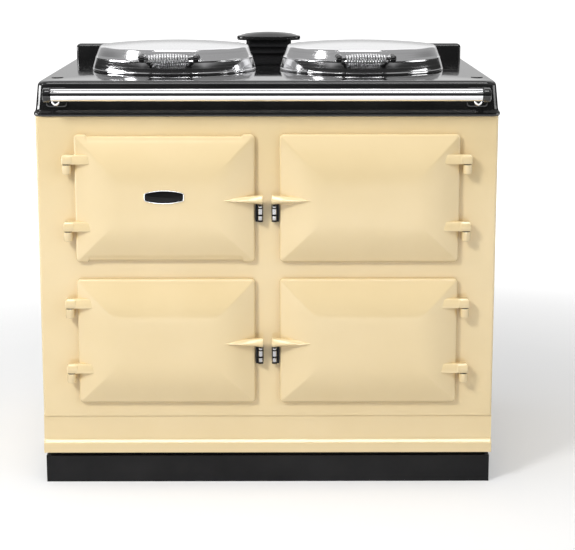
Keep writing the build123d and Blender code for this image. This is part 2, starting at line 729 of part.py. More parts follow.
def oven_box(z):
    x = -door_x
    half = OVEN_WIDTH / 2
    low = z - OVEN_HEIGHT / 2
    top = z + OVEN_HEIGHT / 2
    back = front_back + OVEN_DEPTH
    wall = OVEN_WALL
    oven = block(x - half - wall, x + half + wall, front_back, back + wall, low - wall, top + wall)
    oven -= block(x - half, x + half, front_back - 1, back, low, top)
    for level in LEDGE_LEVELS:
        for edge in (x - half, x + half - LEDGE_WIDTH):
            ledge_top = low + level
            oven += block(edge, edge + LEDGE_WIDTH, front_back, back, ledge_top - LEDGE_HEIGHT, ledge_top)
    return oven


def oven_shelf(z):
    """A grid: cross rods on a pair of ledges, with round bars welded along their tops."""
    half = OVEN_WIDTH / 2 - SHELF_GAP
    back = front_back + OVEN_DEPTH - SHELF_BACK_GAP
    front = back - SHELF_DEPTH
    level = z - OVEN_HEIGHT / 2 + LEDGE_LEVELS[SHELF_LEVEL] + SHELF_FIT + SHELF_FRAME_RADIUS
    bar_level = level + SHELF_FRAME_RADIUS + SHELF_BAR_RADIUS - SHELF_WELD
    first_bar = -door_x - half + 2 * SHELF_FRAME_RADIUS
    bar_step = (2 * half - 4 * SHELF_FRAME_RADIUS) / (SHELF_BARS - 1)
    cross_inset = 2 * SHELF_FRAME_RADIUS
    shelf = rod((-door_x - half, (front + back) / 2, level), (1, 0, 0), SHELF_FRAME_RADIUS, 2 * half)
    bars = [rod((-door_x - half, y, level), (1, 0, 0), SHELF_FRAME_RADIUS, 2 * half)
            for y in (front + cross_inset, back - cross_inset)]
    for index in range(SHELF_BARS):
        start = (first_bar + index * bar_step, front, bar_level)
        bars.append(rod(start, (0, 1, 0), SHELF_BAR_RADIUS, SHELF_DEPTH))
    return shelf.fuse(*bars)


def oven_element(z):
    """A bent heater rod under the oven's floor."""
    x = -door_x
    level = z - OVEN_HEIGHT / 2 - OVEN_WALL - ELEMENT_GAP - ELEMENT_RADIUS
    half = ELEMENT_WIDTH / 2
    back = front_back + ELEMENT_FRONT_GAP + ELEMENT_LENGTH
    front = front_back + ELEMENT_FRONT_GAP
    corners = [
        (x - half, back, level),
        (x - half, front, level),
        (x + half, front, level),
        (x + half, back, level),
    ]
    path = FilletPolyline(*corners, radius=ELEMENT_BEND)
    return sweep(Plane(origin=corners[0], z_dir=(0, -1, 0)) * Circle(ELEMENT_RADIUS), path=path)


def insulation_core():
    """Mineral wool packed round the ovens and the control pan."""
    half = body_half - SIDE_SHEET - WOOL_SIDE_GAP
    wool = block(-half, half, front_back, body_back - WOOL_BACK_GAP, z_skirt, z_plate)
    reach_x = OVEN_WIDTH / 2 + OVEN_WALL + WOOL_GAP
    reach_z = OVEN_HEIGHT / 2 + OVEN_WALL + WOOL_GAP
    back = front_back + OVEN_DEPTH + OVEN_WALL + WOOL_GAP
    for x in (-door_x, door_x):
        for z in (z_low_door, z_high_door):
            wool -= block(x - reach_x, x + reach_x, front_back - 1, back, z - reach_z, z + reach_z)
    return wool


# Controls

def knob_places():
    """Where the knobs' shafts go through the control panel."""
    middle = (KNOB_COUNT - 1) / 2
    return [(-door_x + (index - middle) * KNOB_PITCH, z_high_door) for index in range(KNOB_COUNT)]


def control_panel():
    """A pan behind the upper left opening, with the panel as its floor."""
    x = -door_x
    half = opening_width / 2 + CONTROL_MARGIN
    tall = opening_height / 2 + CONTROL_MARGIN
    sheet = CONTROL_SHEET
    z = z_high_door
    wide = half + sheet
    high = tall + sheet
    pan = block(x - wide, x + wide, front_back, panel_back, z - high, z + high)
    pan -= block(x - half, x + half, front_back - 1, panel_back - sheet, z - tall, z + tall)
    for knob_x, knob_z in knob_places():
        start = (knob_x, panel_back + 1, knob_z)
        pan -= rod(start, (0, -1, 0), KNOB_SHAFT_RADIUS + RUNNING_FIT, 2 * CONTROL_SHEET)
    return pan


def control_module():
    """The switch and relay box behind the panel."""
    x = -door_x
    half = MODULE_WIDTH / 2
    tall = MODULE_HEIGHT / 2
    module = block(
        x - half, x + half, panel_back, panel_back + MODULE_DEPTH, z_high_door - tall, z_high_door + tall)
    for knob_x, knob_z in knob_places():
        start = (knob_x, panel_back, knob_z)
        module -= rod(start, (0, 1, 0), KNOB_SHAFT_RADIUS + RUNNING_FIT, KNOB_SHAFT_REACH + KNOB_GAP)
    return module


def control_knob(place):
    """A round knob with a raised grip across it."""
    knob_x, knob_z = place
    seat = panel_back - CONTROL_SHEET - KNOB_GAP
    knob = rod((knob_x, seat, knob_z), (0, -1, 0), KNOB_SKIRT_RADIUS, KNOB_SKIRT)
    knob += rod((knob_x, seat, knob_z), (0, -1, 0), KNOB_RADIUS, KNOB_LENGTH - KNOB_GRIP_DEPTH)
    grip_half = KNOB_GRIP_WIDTH / 2
    low = knob_z - KNOB_RADIUS
    high = knob_z + KNOB_RADIUS
    grip = block(knob_x - grip_half, knob_x + grip_half, seat - KNOB_LENGTH, seat, low, high)
    knob += grip & rod((knob_x, seat, knob_z), (0, -1, 0), KNOB_RADIUS, KNOB_LENGTH)
    shaft_length = KNOB_GAP + CONTROL_SHEET + KNOB_SHAFT_REACH
    return knob + rod((knob_x, seat, knob_z), (0, 1, 0), KNOB_SHAFT_RADIUS, shaft_length)


# Lids, each drawn about its own hotplate

def lid_profile(inset):
    """Half of the lid's section, drawn in from its outside by a sheet's thickness."""
    rim = LID_RIM_RADIUS - inset
    crease = LID_CREASE_RADIUS - inset
    shoulder = LID_SHOULDER_RADIUS - inset
    shoulder_height = LID_SHOULDER_HEIGHT - inset
    crown = LID_CROWN_HEIGHT - inset
    low = LID_GAP if inset == 0 else 0
    dome_rise = (shoulder_height + 3 * crown) / 4
    lines = [
        Line((0, low), (rim, low)),
        Line((rim, low), (rim, LID_RIM_HEIGHT)),
        Line((rim, LID_RIM_HEIGHT), (crease, LID_CREASE_HEIGHT)),
        Line((crease, LID_CREASE_HEIGHT), (shoulder, shoulder_height)),
        ThreePointArc((shoulder, shoulder_height), (shoulder / 2, dome_rise), (0, crown)),
        Line((0, crown), (0, low)),
    ]
    return make_face(lines)


def lid_solid(inset, x):
    """The lid's profile turned about the middle of its hotplate."""
    section = Plane(origin=(x, hotplate_y, z_deck), x_dir=(1, 0, 0), z_dir=(0, -1, 0)) * lid_profile(inset)
    dome = revolve(section, Axis((x, hotplate_y, z_deck), (0, 0, 1)))
    shoulder_z = z_deck + LID_SHOULDER_HEIGHT - inset
    ring = [edge for edge in dome.edges() if abs(edge.center().Z - shoulder_z) < LID_SHEET / 2]
    return fillet(ring, LID_SHOULDER_ROUND)


def lid_shell(x):
    half = LID_EAR_WIDTH / 2
    ear = rod((x - half, lid_hinge_y, lid_hinge_z), (1, 0, 0), LID_EAR_RADIUS, LID_EAR_WIDTH)
    ear_front = hotplate_y + LID_SHOULDER_RADIUS
    low = lid_hinge_z - LID_EAR_RADIUS
    ear += block(x - half, x + half, ear_front, lid_hinge_y, low, lid_hinge_z + LID_EAR_RADIUS)
    shell = lid_solid(0, x) + ear - lid_solid(LID_SHEET, x)
    bore = LID_PIN_RADIUS + RUNNING_FIT
    return shell - rod((x - half, lid_hinge_y, lid_hinge_z), (1, 0, 0), bore, LID_EAR_WIDTH)


def lid_liner(x):
    """The inner plate that faces the hotplate."""
    slope = (LID_RIM_RADIUS - LID_CREASE_RADIUS) / (LID_CREASE_HEIGHT - LID_RIM_HEIGHT)
    top = LID_LINER_HEIGHT + LID_LINER_SHEET
    radius = LID_RIM_RADIUS - slope * (top - LID_RIM_HEIGHT) - LID_SHEET - LID_LINER_FIT
    return rod((x, hotplate_y, z_deck + LID_LINER_HEIGHT), (0, 0, 1), radius, LID_LINER_SHEET)


def lid_handle_frame(x):
    """Two posts on the lid's wall with a rod between their heads, as three solids."""
    posts = []
    for side in (-1, 1):
        inner = x + side * HANDLE_SPAN / 2
        middle = inner + side * HEAD_LENGTH / 2
        head = rod((inner, handle_y, handle_z), (side, 0, 0), HEAD_RADIUS, HEAD_LENGTH)
        post_length = HANDLE_REACH + HEAD_LENGTH * 2
        post = head + rod((middle, handle_y, handle_z), (0, 1, 0), POST_RADIUS, post_length)
        posts.append(post - lid_solid(0, x))
    bar = rod((x - HANDLE_SPAN / 2, handle_y, handle_z), (1, 0, 0), HANDLE_ROD_RADIUS, HANDLE_SPAN)
    return group(*posts, bar)


def coil_point(turn, x):
    """A point of the barrel-shaped coil and its direction there, a number of turns from its left end."""
    helix_length = HANDLE_SPAN - 2 * COIL_TAIL - 2 * COIL_TURN_IN
    along = (turn / COIL_TURNS - 0.5) * helix_length
    bulge = COIL_MID_RADIUS - COIL_END_RADIUS
    radius = COIL_MID_RADIUS - bulge * (2 * along / helix_length) ** 2
    widening = -8 * bulge * along / helix_length ** 2 * helix_length / COIL_TURNS
    angle = 2 * math.pi * turn
    sweep_rate = 2 * math.pi * radius
    place = Vector(x + along, handle_y + radius * math.cos(angle), handle_z + radius * math.sin(angle))
    heading = Vector(
        helix_length / COIL_TURNS,
        widening * math.cos(angle) - sweep_rate * math.sin(angle),
        widening * math.sin(angle) + sweep_rate * math.cos(angle),
    )
    return place, heading.normalized()


def coil_stations(x):
    """Places and directions along the coil: a straight tail, a quarter turn apart, and a straight tail."""
    axial = Vector(1, 0, 0)
    turn_in = math.radians(COIL_TURN_IN_ANGLE)
    stations = []
    for side, turn in ((-1, 0), (1, COIL_TURNS)):
        angle = 2 * math.pi * turn + side * turn_in
        offset = Vector(0, COIL_END_RADIUS * math.cos(angle), COIL_END_RADIUS * math.sin(angle))
        end = Vector(x + side * HANDLE_SPAN / 2, handle_y, handle_z) + offset
        stations.append((end, axial))
        stations.append((end - axial * side * COIL_TAIL, axial))
    first_end, first_bend, last_end, last_bend = stations
    quarters = [coil_point(quarter / 4, x) for quarter in range(4 * COIL_TURNS + 1)]
    return [first_end, first_bend] + quarters + [last_bend, last_end]


def biarc(start, heading, end, end_heading):
    """Two arcs that leave one place and reach another in given directions, as edges."""
    step = end - start
    turn = heading + end_heading
    spread = 2 * (1 - heading.dot(end_heading))
    pull = step.dot(turn)
    reach = (-pull + math.sqrt(pull * pull + spread * step.dot(step))) / spread
    first_corner = start + heading * reach
    last_corner = end - end_heading * reach
    middle = (first_corner + last_corner) * 0.5
    first = Edge.make_tangent_arc(start, heading, middle)
    return [first, Edge.make_tangent_arc(middle, last_corner - first_corner, end)]


def coil_edges(x):
    stations = coil_stations(x)
    edges = [Edge.make_line(stations[0][0], stations[1][0])]
    for (start, heading), (end, end_heading) in zip(stations[1:-2], stations[2:-1]):
        edges += biarc(start, heading, end, end_heading)
    return edges + [Edge.make_line(stations[-2][0], stations[-1][0])]


def coil_gap(edges):
    """The least clear gap between one turn of the coil and another, measured on points."""
    samples = [edge.position_at(share / 4) for edge in edges for share in range(4)]
    half_turn = 4 * 4
    least = min(
        (samples[later] - samples[early]).length
        for early in range(len(samples))
        for later in range(early + half_turn, len(samples))
    )
    return least - 2 * WIRE_RADIUS


def lid_handle_coil(x):
    """The wound wire grip: one unbroken tube from one post's head to the other's."""
    edges = coil_edges(x)
    tightest = min(edge.radius for edge in edges if edge.geom_type == GeomType.CIRCLE)
    gap = coil_gap(edges)
    print(f"lid handle coil: {COIL_TURNS} turns, least gap {gap:.2f} mm, tightest bend {tightest:.2f} mm")
    if gap <= LEAST_COIL_GAP:
        print("lid handle coil: the turns are too close")
    path = Wire(edges)
    section = Plane(origin=edges[0].position_at(0), z_dir=(1, 0, 0)) * Circle(WIRE_RADIUS)
    return sweep(section, path=path)


def lid_hinge_bracket(x):
    """A foot on the top plate with an ear each side of the lid's own ear."""
    inner = LID_EAR_WIDTH / 2 + LID_BRACKET_GAP
    outer = inner + LID_BRACKET_EAR
    foot_front = lid_hinge_y - LID_BRACKET_FRONT
    foot_back = lid_hinge_y + LID_BRACKET_BACK
    bracket = block(x - outer, x + outer, foot_front, foot_back, z_deck, z_deck + LID_BRACKET_FOOT)
    for start in (x - outer, x + inner):
        end = start + LID_BRACKET_EAR
        radius = LID_EAR_RADIUS
        bracket += block(start, end, lid_hinge_y - radius, lid_hinge_y + radius, z_deck, lid_hinge_z)
        bracket += rod((start, lid_hinge_y, lid_hinge_z), (1, 0, 0), radius, LID_BRACKET_EAR)
    bore = LID_PIN_RADIUS + LID_PIN_FIT
    return bracket - rod((x - outer, lid_hinge_y, lid_hinge_z), (1, 0, 0), bore, 2 * outer)


def lid_hinge_pin(x):
    half = LID_EAR_WIDTH / 2 + LID_BRACKET_GAP + LID_BRACKET_EAR
    return rod((x - half, lid_hinge_y, lid_hinge_z), (1, 0, 0), LID_PIN_RADIUS, 2 * half)


def build_nodes():
    """Every node of the cooker by name."""
    left_panel = side_panel()
    bracket = handrail_bracket()
    bolt = handrail_bolt()
    low_oven = oven_box(z_low_door)
    low_door = door_casting(z_low_door)
    low_liner = door_liner(z_low_door)
    low_seal = door_seal(z_low_door)
    high_catch = catch_bracket(z_high_door)
    low_catch = catch_bracket(z_low_door)
    high_roller = catch_roller(z_high_door)
    low_roller = catch_roller(z_low_door)
    low_shelf = oven_shelf(z_low_door)
    low_element = oven_element(z_low_door)
    up = Pos(0, 0, z_high_door - z_low_door)
    nodes = {
        "plinth": plinth(),
        "levelling_feet": levelling_feet(),
        "base_tray": base_tray(),
        "side_panel_left": left_panel,
        "side_panel_right": mirrored(left_panel),
        "back_panel": back_panel(),
        "cable_gland": cable_gland(),
        "front_plate": front_plate(),
        "skirt_panel": skirt_panel(),
        "top_plate": top_plate(),
        "plate_plugs": plate_plugs(),
        "hotplate_left": hotplate(-HOTPLATE_X),
        "hotplate_right": hotplate(HOTPLATE_X),
        "hotplate_elements": hotplate_elements(),
        "rear_upstand": rear_upstand(),
        "vent_neck": vent_neck(),
        "vent_cap": vent_cap(),
        "handrail_tube": handrail_tube(),
        "handrail_brackets": group(bracket, mirrored(bracket)),
        "handrail_bolts": group(bolt, mirrored(bolt)),
        "hinge_pintles": hinge_pintles(),
        "hinge_washers": hinge_washers(),
        "catch_brackets": group(high_catch, mirrored(high_catch), low_catch, mirrored(low_catch)),
        "oven_simmering": low_oven,
        "oven_baking": mirrored(low_oven),
        "oven_roasting": up * mirrored(low_oven),
        "oven_shelves": group(low_shelf, mirrored(low_shelf), up * mirrored(low_shelf)),
        "oven_elements": group(low_element, mirrored(low_element), up * mirrored(low_element)),
        "insulation_core": insulation_core(),
        "control_panel": control_panel(),
        "control_module": control_module(),
        "lid_hinge_brackets": group(lid_hinge_bracket(-HOTPLATE_X), lid_hinge_bracket(HOTPLATE_X)),
        "lid_hinge_pins": group(lid_hinge_pin(-HOTPLATE_X), lid_hinge_pin(HOTPLATE_X)),
        "door_control": control_door(),
        "badge_plate": badge_plate(),
        "badge_rim": badge_rim(),
        "door_simmering": low_door,
        "door_baking": mirrored(low_door),
        "door_roasting": up * mirrored(low_door),
        "door_liner_simmering": low_liner,
        "door_liner_baking": mirrored(low_liner),
        "door_liner_roasting": up * mirrored(low_liner),
        "door_seal_simmering": low_seal,
        "door_seal_baking": mirrored(low_seal),
        "door_seal_roasting": up * mirrored(low_seal),
        "catch_roller_control": high_roller,
        "catch_roller_roasting": mirrored(high_roller),
        "catch_roller_simmering": low_roller,
        "catch_roller_baking": mirrored(low_roller),
    }
    for name, place in zip(("left", "middle", "right"), knob_places()):
        nodes[f"control_knob_{name}"] = control_knob(place)
    left_coil = lid_handle_coil(-HOTPLATE_X)
    for name, x in (("left", -HOTPLATE_X), ("right", HOTPLATE_X)):
        nodes[f"lid_shell_{name}"] = lid_shell(x)
        nodes[f"lid_liner_{name}"] = lid_liner(x)
        nodes[f"lid_handle_frame_{name}"] = lid_handle_frame(x)
        nodes[f"lid_handle_coil_{name}"] = Pos(x + HOTPLATE_X, 0, 0) * left_coil
    return nodes


os.makedirs("parts", exist_ok=True)
for node_name, node_shape in build_nodes().items():
    export_step(node_shape, f"parts/{node_name}.step")
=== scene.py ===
"""The range cooker's looks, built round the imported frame. Lengths in mm until a mesh is made."""
import json
import math

import bpy
import bmesh
from mathutils import Matrix, Vector


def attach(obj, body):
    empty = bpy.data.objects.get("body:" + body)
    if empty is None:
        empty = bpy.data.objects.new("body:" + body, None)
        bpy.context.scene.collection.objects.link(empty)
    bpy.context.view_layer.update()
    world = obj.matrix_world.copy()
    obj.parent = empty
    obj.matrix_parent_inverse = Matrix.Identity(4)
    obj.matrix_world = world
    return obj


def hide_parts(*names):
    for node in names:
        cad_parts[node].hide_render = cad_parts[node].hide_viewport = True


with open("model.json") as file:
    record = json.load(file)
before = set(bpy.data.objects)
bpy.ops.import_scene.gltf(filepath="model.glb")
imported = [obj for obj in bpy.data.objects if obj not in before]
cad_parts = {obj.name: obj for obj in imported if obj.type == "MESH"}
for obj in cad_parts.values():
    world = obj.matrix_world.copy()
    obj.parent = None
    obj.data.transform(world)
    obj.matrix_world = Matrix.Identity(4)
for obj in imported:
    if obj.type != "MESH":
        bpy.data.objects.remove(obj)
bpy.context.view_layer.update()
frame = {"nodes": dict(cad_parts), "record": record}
scene = bpy.context.scene
scene.view_settings.view_transform = "Standard"

# Places shared with the solids
FRONT = -293.5
DOOR_X = 219.25
DOOR_Z = {"low": 325.0, "high": 639.0}
DOOR_HALF_W = 193.0
DOOR_HALF_H = 138.5
DOOR_INNER = 26.25
HINGE_X = 427.25
HINGE_Y = -311.5
LUG_LEVELS = (86.5, -58.5)
DECK = 890.0
PLATE_X = 215.5
PLATE_Y = 21.5
HANDLE_Y = -188.7
HANDLE_Z = 929.0
LID_HINGE_Y = 228.0
LID_HINGE_Z = 912.0
PANEL_FACE = -229.5
RAIL_Y = -342.5
RAIL_Z = 865
RAIL_END = 453.5
UPSTAND_Y = 330
TOP = 958

# Materials
GLAZE_IOR = 1.5
NOISE_SPAN = (0.3, 0.7)
FINISH = {}


class Finish:
    """A Principled material with short calls for its textures."""

    def __init__(self, name, color, roughness, metallic=0.0, coat=0.0, coat_roughness=0.05):
        self.mat = bpy.data.materials.new(name)
        self.mat.use_nodes = True
        self.nodes = self.mat.node_tree.nodes
        self.links = self.mat.node_tree.links
        self.shader = self.nodes["Principled BSDF"]
        self.shader.inputs["Base Color"].default_value = (*color, 1.0)
        self.shader.inputs["Roughness"].default_value = roughness
        self.shader.inputs["Metallic"].default_value = metallic
        self.shader.inputs["Coat Weight"].default_value = coat
        self.shader.inputs["Coat Roughness"].default_value = coat_roughness
        self.shader.inputs["IOR"].default_value = GLAZE_IOR
        self.place = self.nodes.new("ShaderNodeTexCoord").outputs["Object"]
        FINISH[name] = self.mat

    def noise(self, scale, detail=3.0, stretch=(1.0, 1.0, 1.0)):
        """Noise through the object's space, in waves per metre."""
        mapping = self.nodes.new("ShaderNodeMapping")
        mapping.inputs["Scale"].default_value = stretch
        self.links.new(self.place, mapping.inputs["Vector"])
        node = self.nodes.new("ShaderNodeTexNoise")
        node.inputs["Scale"].default_value = scale
        node.inputs["Detail"].default_value = detail
        self.links.new(mapping.outputs["Vector"], node.inputs["Vector"])
        return node.outputs["Fac"]

    def rings(self, scale):
        """Noise that changes only with the distance from the nearer hotplate's middle."""
        split = self.nodes.new("ShaderNodeSeparateXYZ")
        self.links.new(self.place, split.inputs["Vector"])
        across = self.math("SUBTRACT", self.math("ABSOLUTE", split.outputs["X"]), PLATE_X / 1000)
        along = self.math("SUBTRACT", split.outputs["Y"], PLATE_Y / 1000)
        square = self.math("ADD", self.math("POWER", across, 2.0), self.math("POWER", along, 2.0))
        radius = self.math("SQRT", square)
        node = self.nodes.new("ShaderNodeTexNoise")
        node.noise_dimensions = "1D"
        node.inputs["Scale"].default_value = scale
        node.inputs["Detail"].default_value = 2.0
        self.links.new(radius, node.inputs["W"])
        return node.outputs["Fac"]

    def math(self, operation, first, second=0.0):
        node = self.nodes.new("ShaderNodeMath")
        node.operation = operation
        for socket, value in zip(node.inputs, (first, second)):
            if isinstance(value, float):
                socket.default_value = value
            else:
                self.links.new(value, socket)
        return node.outputs["Value"]

    def vary(self, factor, low, high, socket="Base Color"):
        """A colour or number between two ends, by a factor."""
        ramp = self.nodes.new("ShaderNodeValToRGB")
        for element, position, value in zip(ramp.color_ramp.elements, NOISE_SPAN, (low, high)):
            element.position = position
            element.color = (*value, 1.0) if socket == "Base Color" else (value, value, value, 1.0)
        self.links.new(factor, ramp.inputs["Fac"])
        self.links.new(ramp.outputs["Color"], self.shader.inputs[socket])

    def bump(self, *layers):
        """Layers of (height, strength, depth in mm), one on another."""
        below = None
        for height, strength, depth in layers:
            node = self.nodes.new("ShaderNodeBump")
            node.inputs["Strength"].default_value = strength
            node.inputs["Distance"].default_value = depth / 1000
            self.links.new(height, node.inputs["Height"])
            if below:
                self.links.new(below, node.inputs["Normal"])
            below = node.outputs["Normal"]
        self.links.new(below, self.shader.inputs["Normal"])


def make_finishes():
    f = Finish("enamel_cream", (0.885, 0.705, 0.405), 0.15, coat=0.4, coat_roughness=0.06)
    f.vary(f.noise(7.0, 4.0), (0.87, 0.69, 0.39), (0.90, 0.72, 0.42))
    f.vary(f.noise(40.0), 0.12, 0.18, "Roughness")
    f.bump((f.noise(24.0, 2.0), 0.04, 1.2), (f.noise(330.0, 1.0), 0.02, 0.4))

    f = Finish("enamel_black", (0.012, 0.012, 0.012), 0.07, coat=0.25, coat_roughness=0.03)
    f.vary(f.noise(12.0, 4.0), (0.009, 0.009, 0.0095), (0.016, 0.016, 0.016))
    f.vary(f.noise(30.0), 0.05, 0.11, "Roughness")
    f.bump((f.noise(20.0, 2.0), 0.04, 1.2), (f.noise(300.0, 1.0), 0.02, 0.4))

    f = Finish("plate_black", (0.010, 0.010, 0.010), 0.16)
    f.shader.inputs["Specular IOR Level"].default_value = 0.16
    f.vary(f.noise(14.0, 4.0), (0.008, 0.008, 0.008), (0.013, 0.013, 0.013))
    f.vary(f.noise(40.0), 0.12, 0.2, "Roughness")
    f.bump((f.noise(24.0, 2.0), 0.04, 1.2))

    f = Finish("satin_black", (0.016, 0.016, 0.017), 0.42)
    f.shader.inputs["Specular IOR Level"].default_value = 0.14
    f.vary(f.noise(9.0, 5.0), (0.013, 0.013, 0.014), (0.021, 0.021, 0.022))
    f.vary(f.noise(60.0), 0.36, 0.5, "Roughness")
    f.bump((f.noise(700.0, 2.0), 0.12, 0.15))

    f = Finish("chrome", (0.86, 0.86, 0.87), 0.06, metallic=1.0)
    f.vary(f.noise(16.0, 3.0), (0.83, 0.83, 0.845), (0.88, 0.88, 0.89))
    f.vary(f.noise(50.0), 0.045, 0.085, "Roughness")
    f.bump((f.noise(500.0, 1.0), 0.02, 0.1))

    # Chrome with its base darkened: painted shade for the catch rollers' dull reflections.
    f = Finish("chrome_painted_shade", (0.46, 0.46, 0.47), 0.14, metallic=1.0)
    f.vary(f.noise(60.0, 3.0), (0.42, 0.42, 0.43), (0.50, 0.50, 0.51))
    f.vary(f.noise(120.0), 0.1, 0.18, "Roughness")
    f.bump((f.noise(700.0, 1.0), 0.03, 0.1))

    f = Finish("polished_steel", (0.80, 0.80, 0.81), 0.12, metallic=1.0)
    f.vary(f.rings(260.0), (0.77, 0.77, 0.78), (0.83, 0.83, 0.84))
    f.vary(f.rings(900.0), 0.08, 0.17, "Roughness")
    f.bump((f.rings(1500.0), 0.03, 0.08))

    f = Finish("cast_iron", (0.09, 0.09, 0.092), 0.5, metallic=0.7)
    f.vary(f.noise(35.0, 5.0), (0.07, 0.07, 0.072), (0.12, 0.12, 0.12))
    f.vary(f.rings(1100.0), 0.38, 0.55, "Roughness")
    f.bump((f.rings(1300.0), 0.15, 0.12), (f.noise(420.0, 3.0), 0.12, 0.2))

    f = Finish("sheet_steel", (0.52, 0.53, 0.54), 0.36, metallic=1.0)
    f.vary(f.noise(60.0, 4.0, (1.0, 1.0, 0.25)), (0.46, 0.47, 0.48), (0.58, 0.59, 0.60))
    f.vary(f.noise(40.0, 4.0), 0.3, 0.46, "Roughness")
    f.bump((f.noise(900.0, 2.0, (1.0, 1.0, 0.05)), 0.05, 0.1))

    f = Finish("wire_steel", (0.82, 0.82, 0.83), 0.28, metallic=0.7)
    f.vary(f.noise(140.0, 3.0), (0.76, 0.76, 0.77), (0.87, 0.87, 0.88))
    f.vary(f.noise(300.0), 0.22, 0.34, "Roughness")
    f.bump((f.noise(1500.0, 2.0), 0.05, 0.06))

    f = Finish("heater", (0.10, 0.085, 0.075), 0.55, metallic=0.6)
    f.vary(f.noise(45.0, 4.0), (0.06, 0.055, 0.05), (0.15, 0.12, 0.10))
    f.bump((f.noise(600.0, 2.0), 0.12, 0.15))

    f = Finish("black_plastic", (0.02, 0.02, 0.021), 0.36)
    f.vary(f.noise(30.0, 3.0), (0.016, 0.016, 0.017), (0.026, 0.026, 0.027))
    f.vary(f.noise(120.0), 0.3, 0.42, "Roughness")
    f.bump((f.noise(1400.0, 1.0), 0.10, 0.08))

    f = Finish("mineral_wool", (0.62, 0.58, 0.42), 0.95)
    f.vary(f.noise(90.0, 8.0), (0.45, 0.41, 0.28), (0.72, 0.68, 0.52))
    f.bump((f.noise(260.0, 8.0, (1.0, 1.0, 3.0)), 0.7, 3.0))

    f = Finish("rope_seal", (0.30, 0.30, 0.29), 0.85)
    f.vary(f.noise(700.0, 4.0), (0.20, 0.20, 0.195), (0.42, 0.42, 0.40))
    f.bump((f.noise(1500.0, 3.0), 0.5, 0.4))

    f = Finish("dial_white", (0.80, 0.80, 0.78), 0.45)
    f.vary(f.noise(60.0), (0.77, 0.77, 0.75), (0.83, 0.83, 0.81))


# Mesh helpers

def piece(name, shells, finish, body, *nodes, slot=None, sharp=38.0):
    """A mesh from shells of (points, faces), on a body, with its finish and the nodes it stands for."""
    points = []
    faces = []
    for shell_points, shell_faces in shells:
        start = len(points)
        points += [(x / 1000, y / 1000, z / 1000) for x, y, z in shell_points]
        faces += [tuple(index + start for index in face) for face in shell_faces]
    mesh = bpy.data.meshes.new(name)
    mesh.from_pydata(points, [], faces)
    work = bmesh.new()
    work.from_mesh(mesh)
    bmesh.ops.recalc_face_normals(work, faces=work.faces)
    work.to_mesh(mesh)
    work.free()
    mesh.polygons.foreach_set("use_smooth", [True] * len(mesh.polygons))
    mesh.set_sharp_from_angle(angle=math.radians(sharp))
    mesh.materials.append(FINISH[finish])
    obj = bpy.data.objects.new(name, mesh)
    scene.collection.objects.link(obj)
    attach(obj, body)
    if nodes:
        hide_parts(*nodes)
    return obj


def skin(rings, loop=False):
    """Quads between rings of points, with a face over each end unless the rings run in a loop."""
    count = len(rings[0])
    points = [point for ring in rings for point in ring]
    faces = []
    pairs = len(rings) if loop else len(rings) - 1
    for index in range(pairs):
        first = index * count
        second = (index + 1) % len(rings) * count
        for step in range(count):
            after = (step + 1) % count
            faces.append((first + step, first + after, second + after, second + step))
    if not loop:
        faces.append(tuple(range(count)))
        faces.append(tuple(range(len(points) - count, len(points))))
    return points, faces


def ring_about(centre, side, other, radius, count):
    """Points round a circle in the plane of two directions."""
    points = []
    for step in range(count):
        angle = 2 * math.pi * step / count
        place = centre + side * (radius * math.cos(angle))
        points.append(tuple(place + other * (radius * math.sin(angle))))
    return points


def lathe(profile, origin, axis, segments, loop=False):
    """A profile of (radius, distance along) turned about an axis through an origin."""
    axis = Vector(axis).normalized()
    side = Vector((1, 0, 0)) if abs(axis.x) < 0.5 else Vector((0, 0, 1))
    other = axis.cross(side)
    rings = []
    for radius, along in profile:
        rings.append(ring_about(Vector(origin) + axis * along, side, other, radius, segments))
    return skin(rings, loop)


def tube(path, radius, sides):
    """A round tube along points, carried without twist, with flat ends."""
    path = [Vector(point) for point in path]
    normal = None
    rings = []
    for index, point in enumerate(path):
        ahead = path[min(index + 1, len(path) - 1)] - path[max(index - 1, 0)]
        ahead.normalize()
        if normal is None:
            normal = ahead.orthogonal().normalized()
        normal = (normal - ahead * normal.dot(ahead)).normalized()
        rings.append(ring_about(point, normal, ahead.cross(normal), radius, sides))
    return skin(rings)


def smooth(low, high, value):
    """A share from 0 to 1 that eases in and out between two values."""
    share = min(max((value - low) / (high - low), 0.0), 1.0)
    return share * share * (3 - 2 * share)


def oblong(half_a, half_b, radius, corner, stations=()):
    """Points round a rounded rectangle, anticlockwise from its lower right corner."""
    radius = min(radius, half_a * 0.98, half_b * 0.98)
    flat_a = half_a - radius
    flat_b = half_b - radius
    corners = (
        (flat_a, -flat_b, -90),
        (flat_a, flat_b, 0),
        (-flat_a, flat_b, 90),
        (-flat_a, -flat_b, 180),
    )
    points = []
    for index, (a, b, start) in enumerate(corners):
        arc = []
        for step in range(corner + 1):
            angle = math.radians(start + 90 * step / corner)
            arc.append((a + radius * math.cos(angle), b + radius * math.sin(angle)))
        points += arc
        last_a, last_b = arc[-1]
        next_a, next_b, next_start = corners[(index + 1) % 4]
        angle = math.radians(next_start)
        end_a = next_a + radius * math.cos(angle)
        end_b = next_b + radius * math.sin(angle)
        for share in stations:
            points.append((last_a + (end_a - last_a) * share, last_b + (end_b - last_b) * share))
    return points


def superellipse(half_a, half_b, power, count):
    """Points round an ellipse that is squared off by a power over 2."""
    points = []
    for step in range(count):
        angle = 2 * math.pi * step / count
        a = math.cos(angle)
        b = math.sin(angle)
        points.append((
            math.copysign(abs(a) ** (2 / power), a) * half_a,
            math.copysign(abs(b) ** (2 / power), b) * half_b,
        ))
    return points


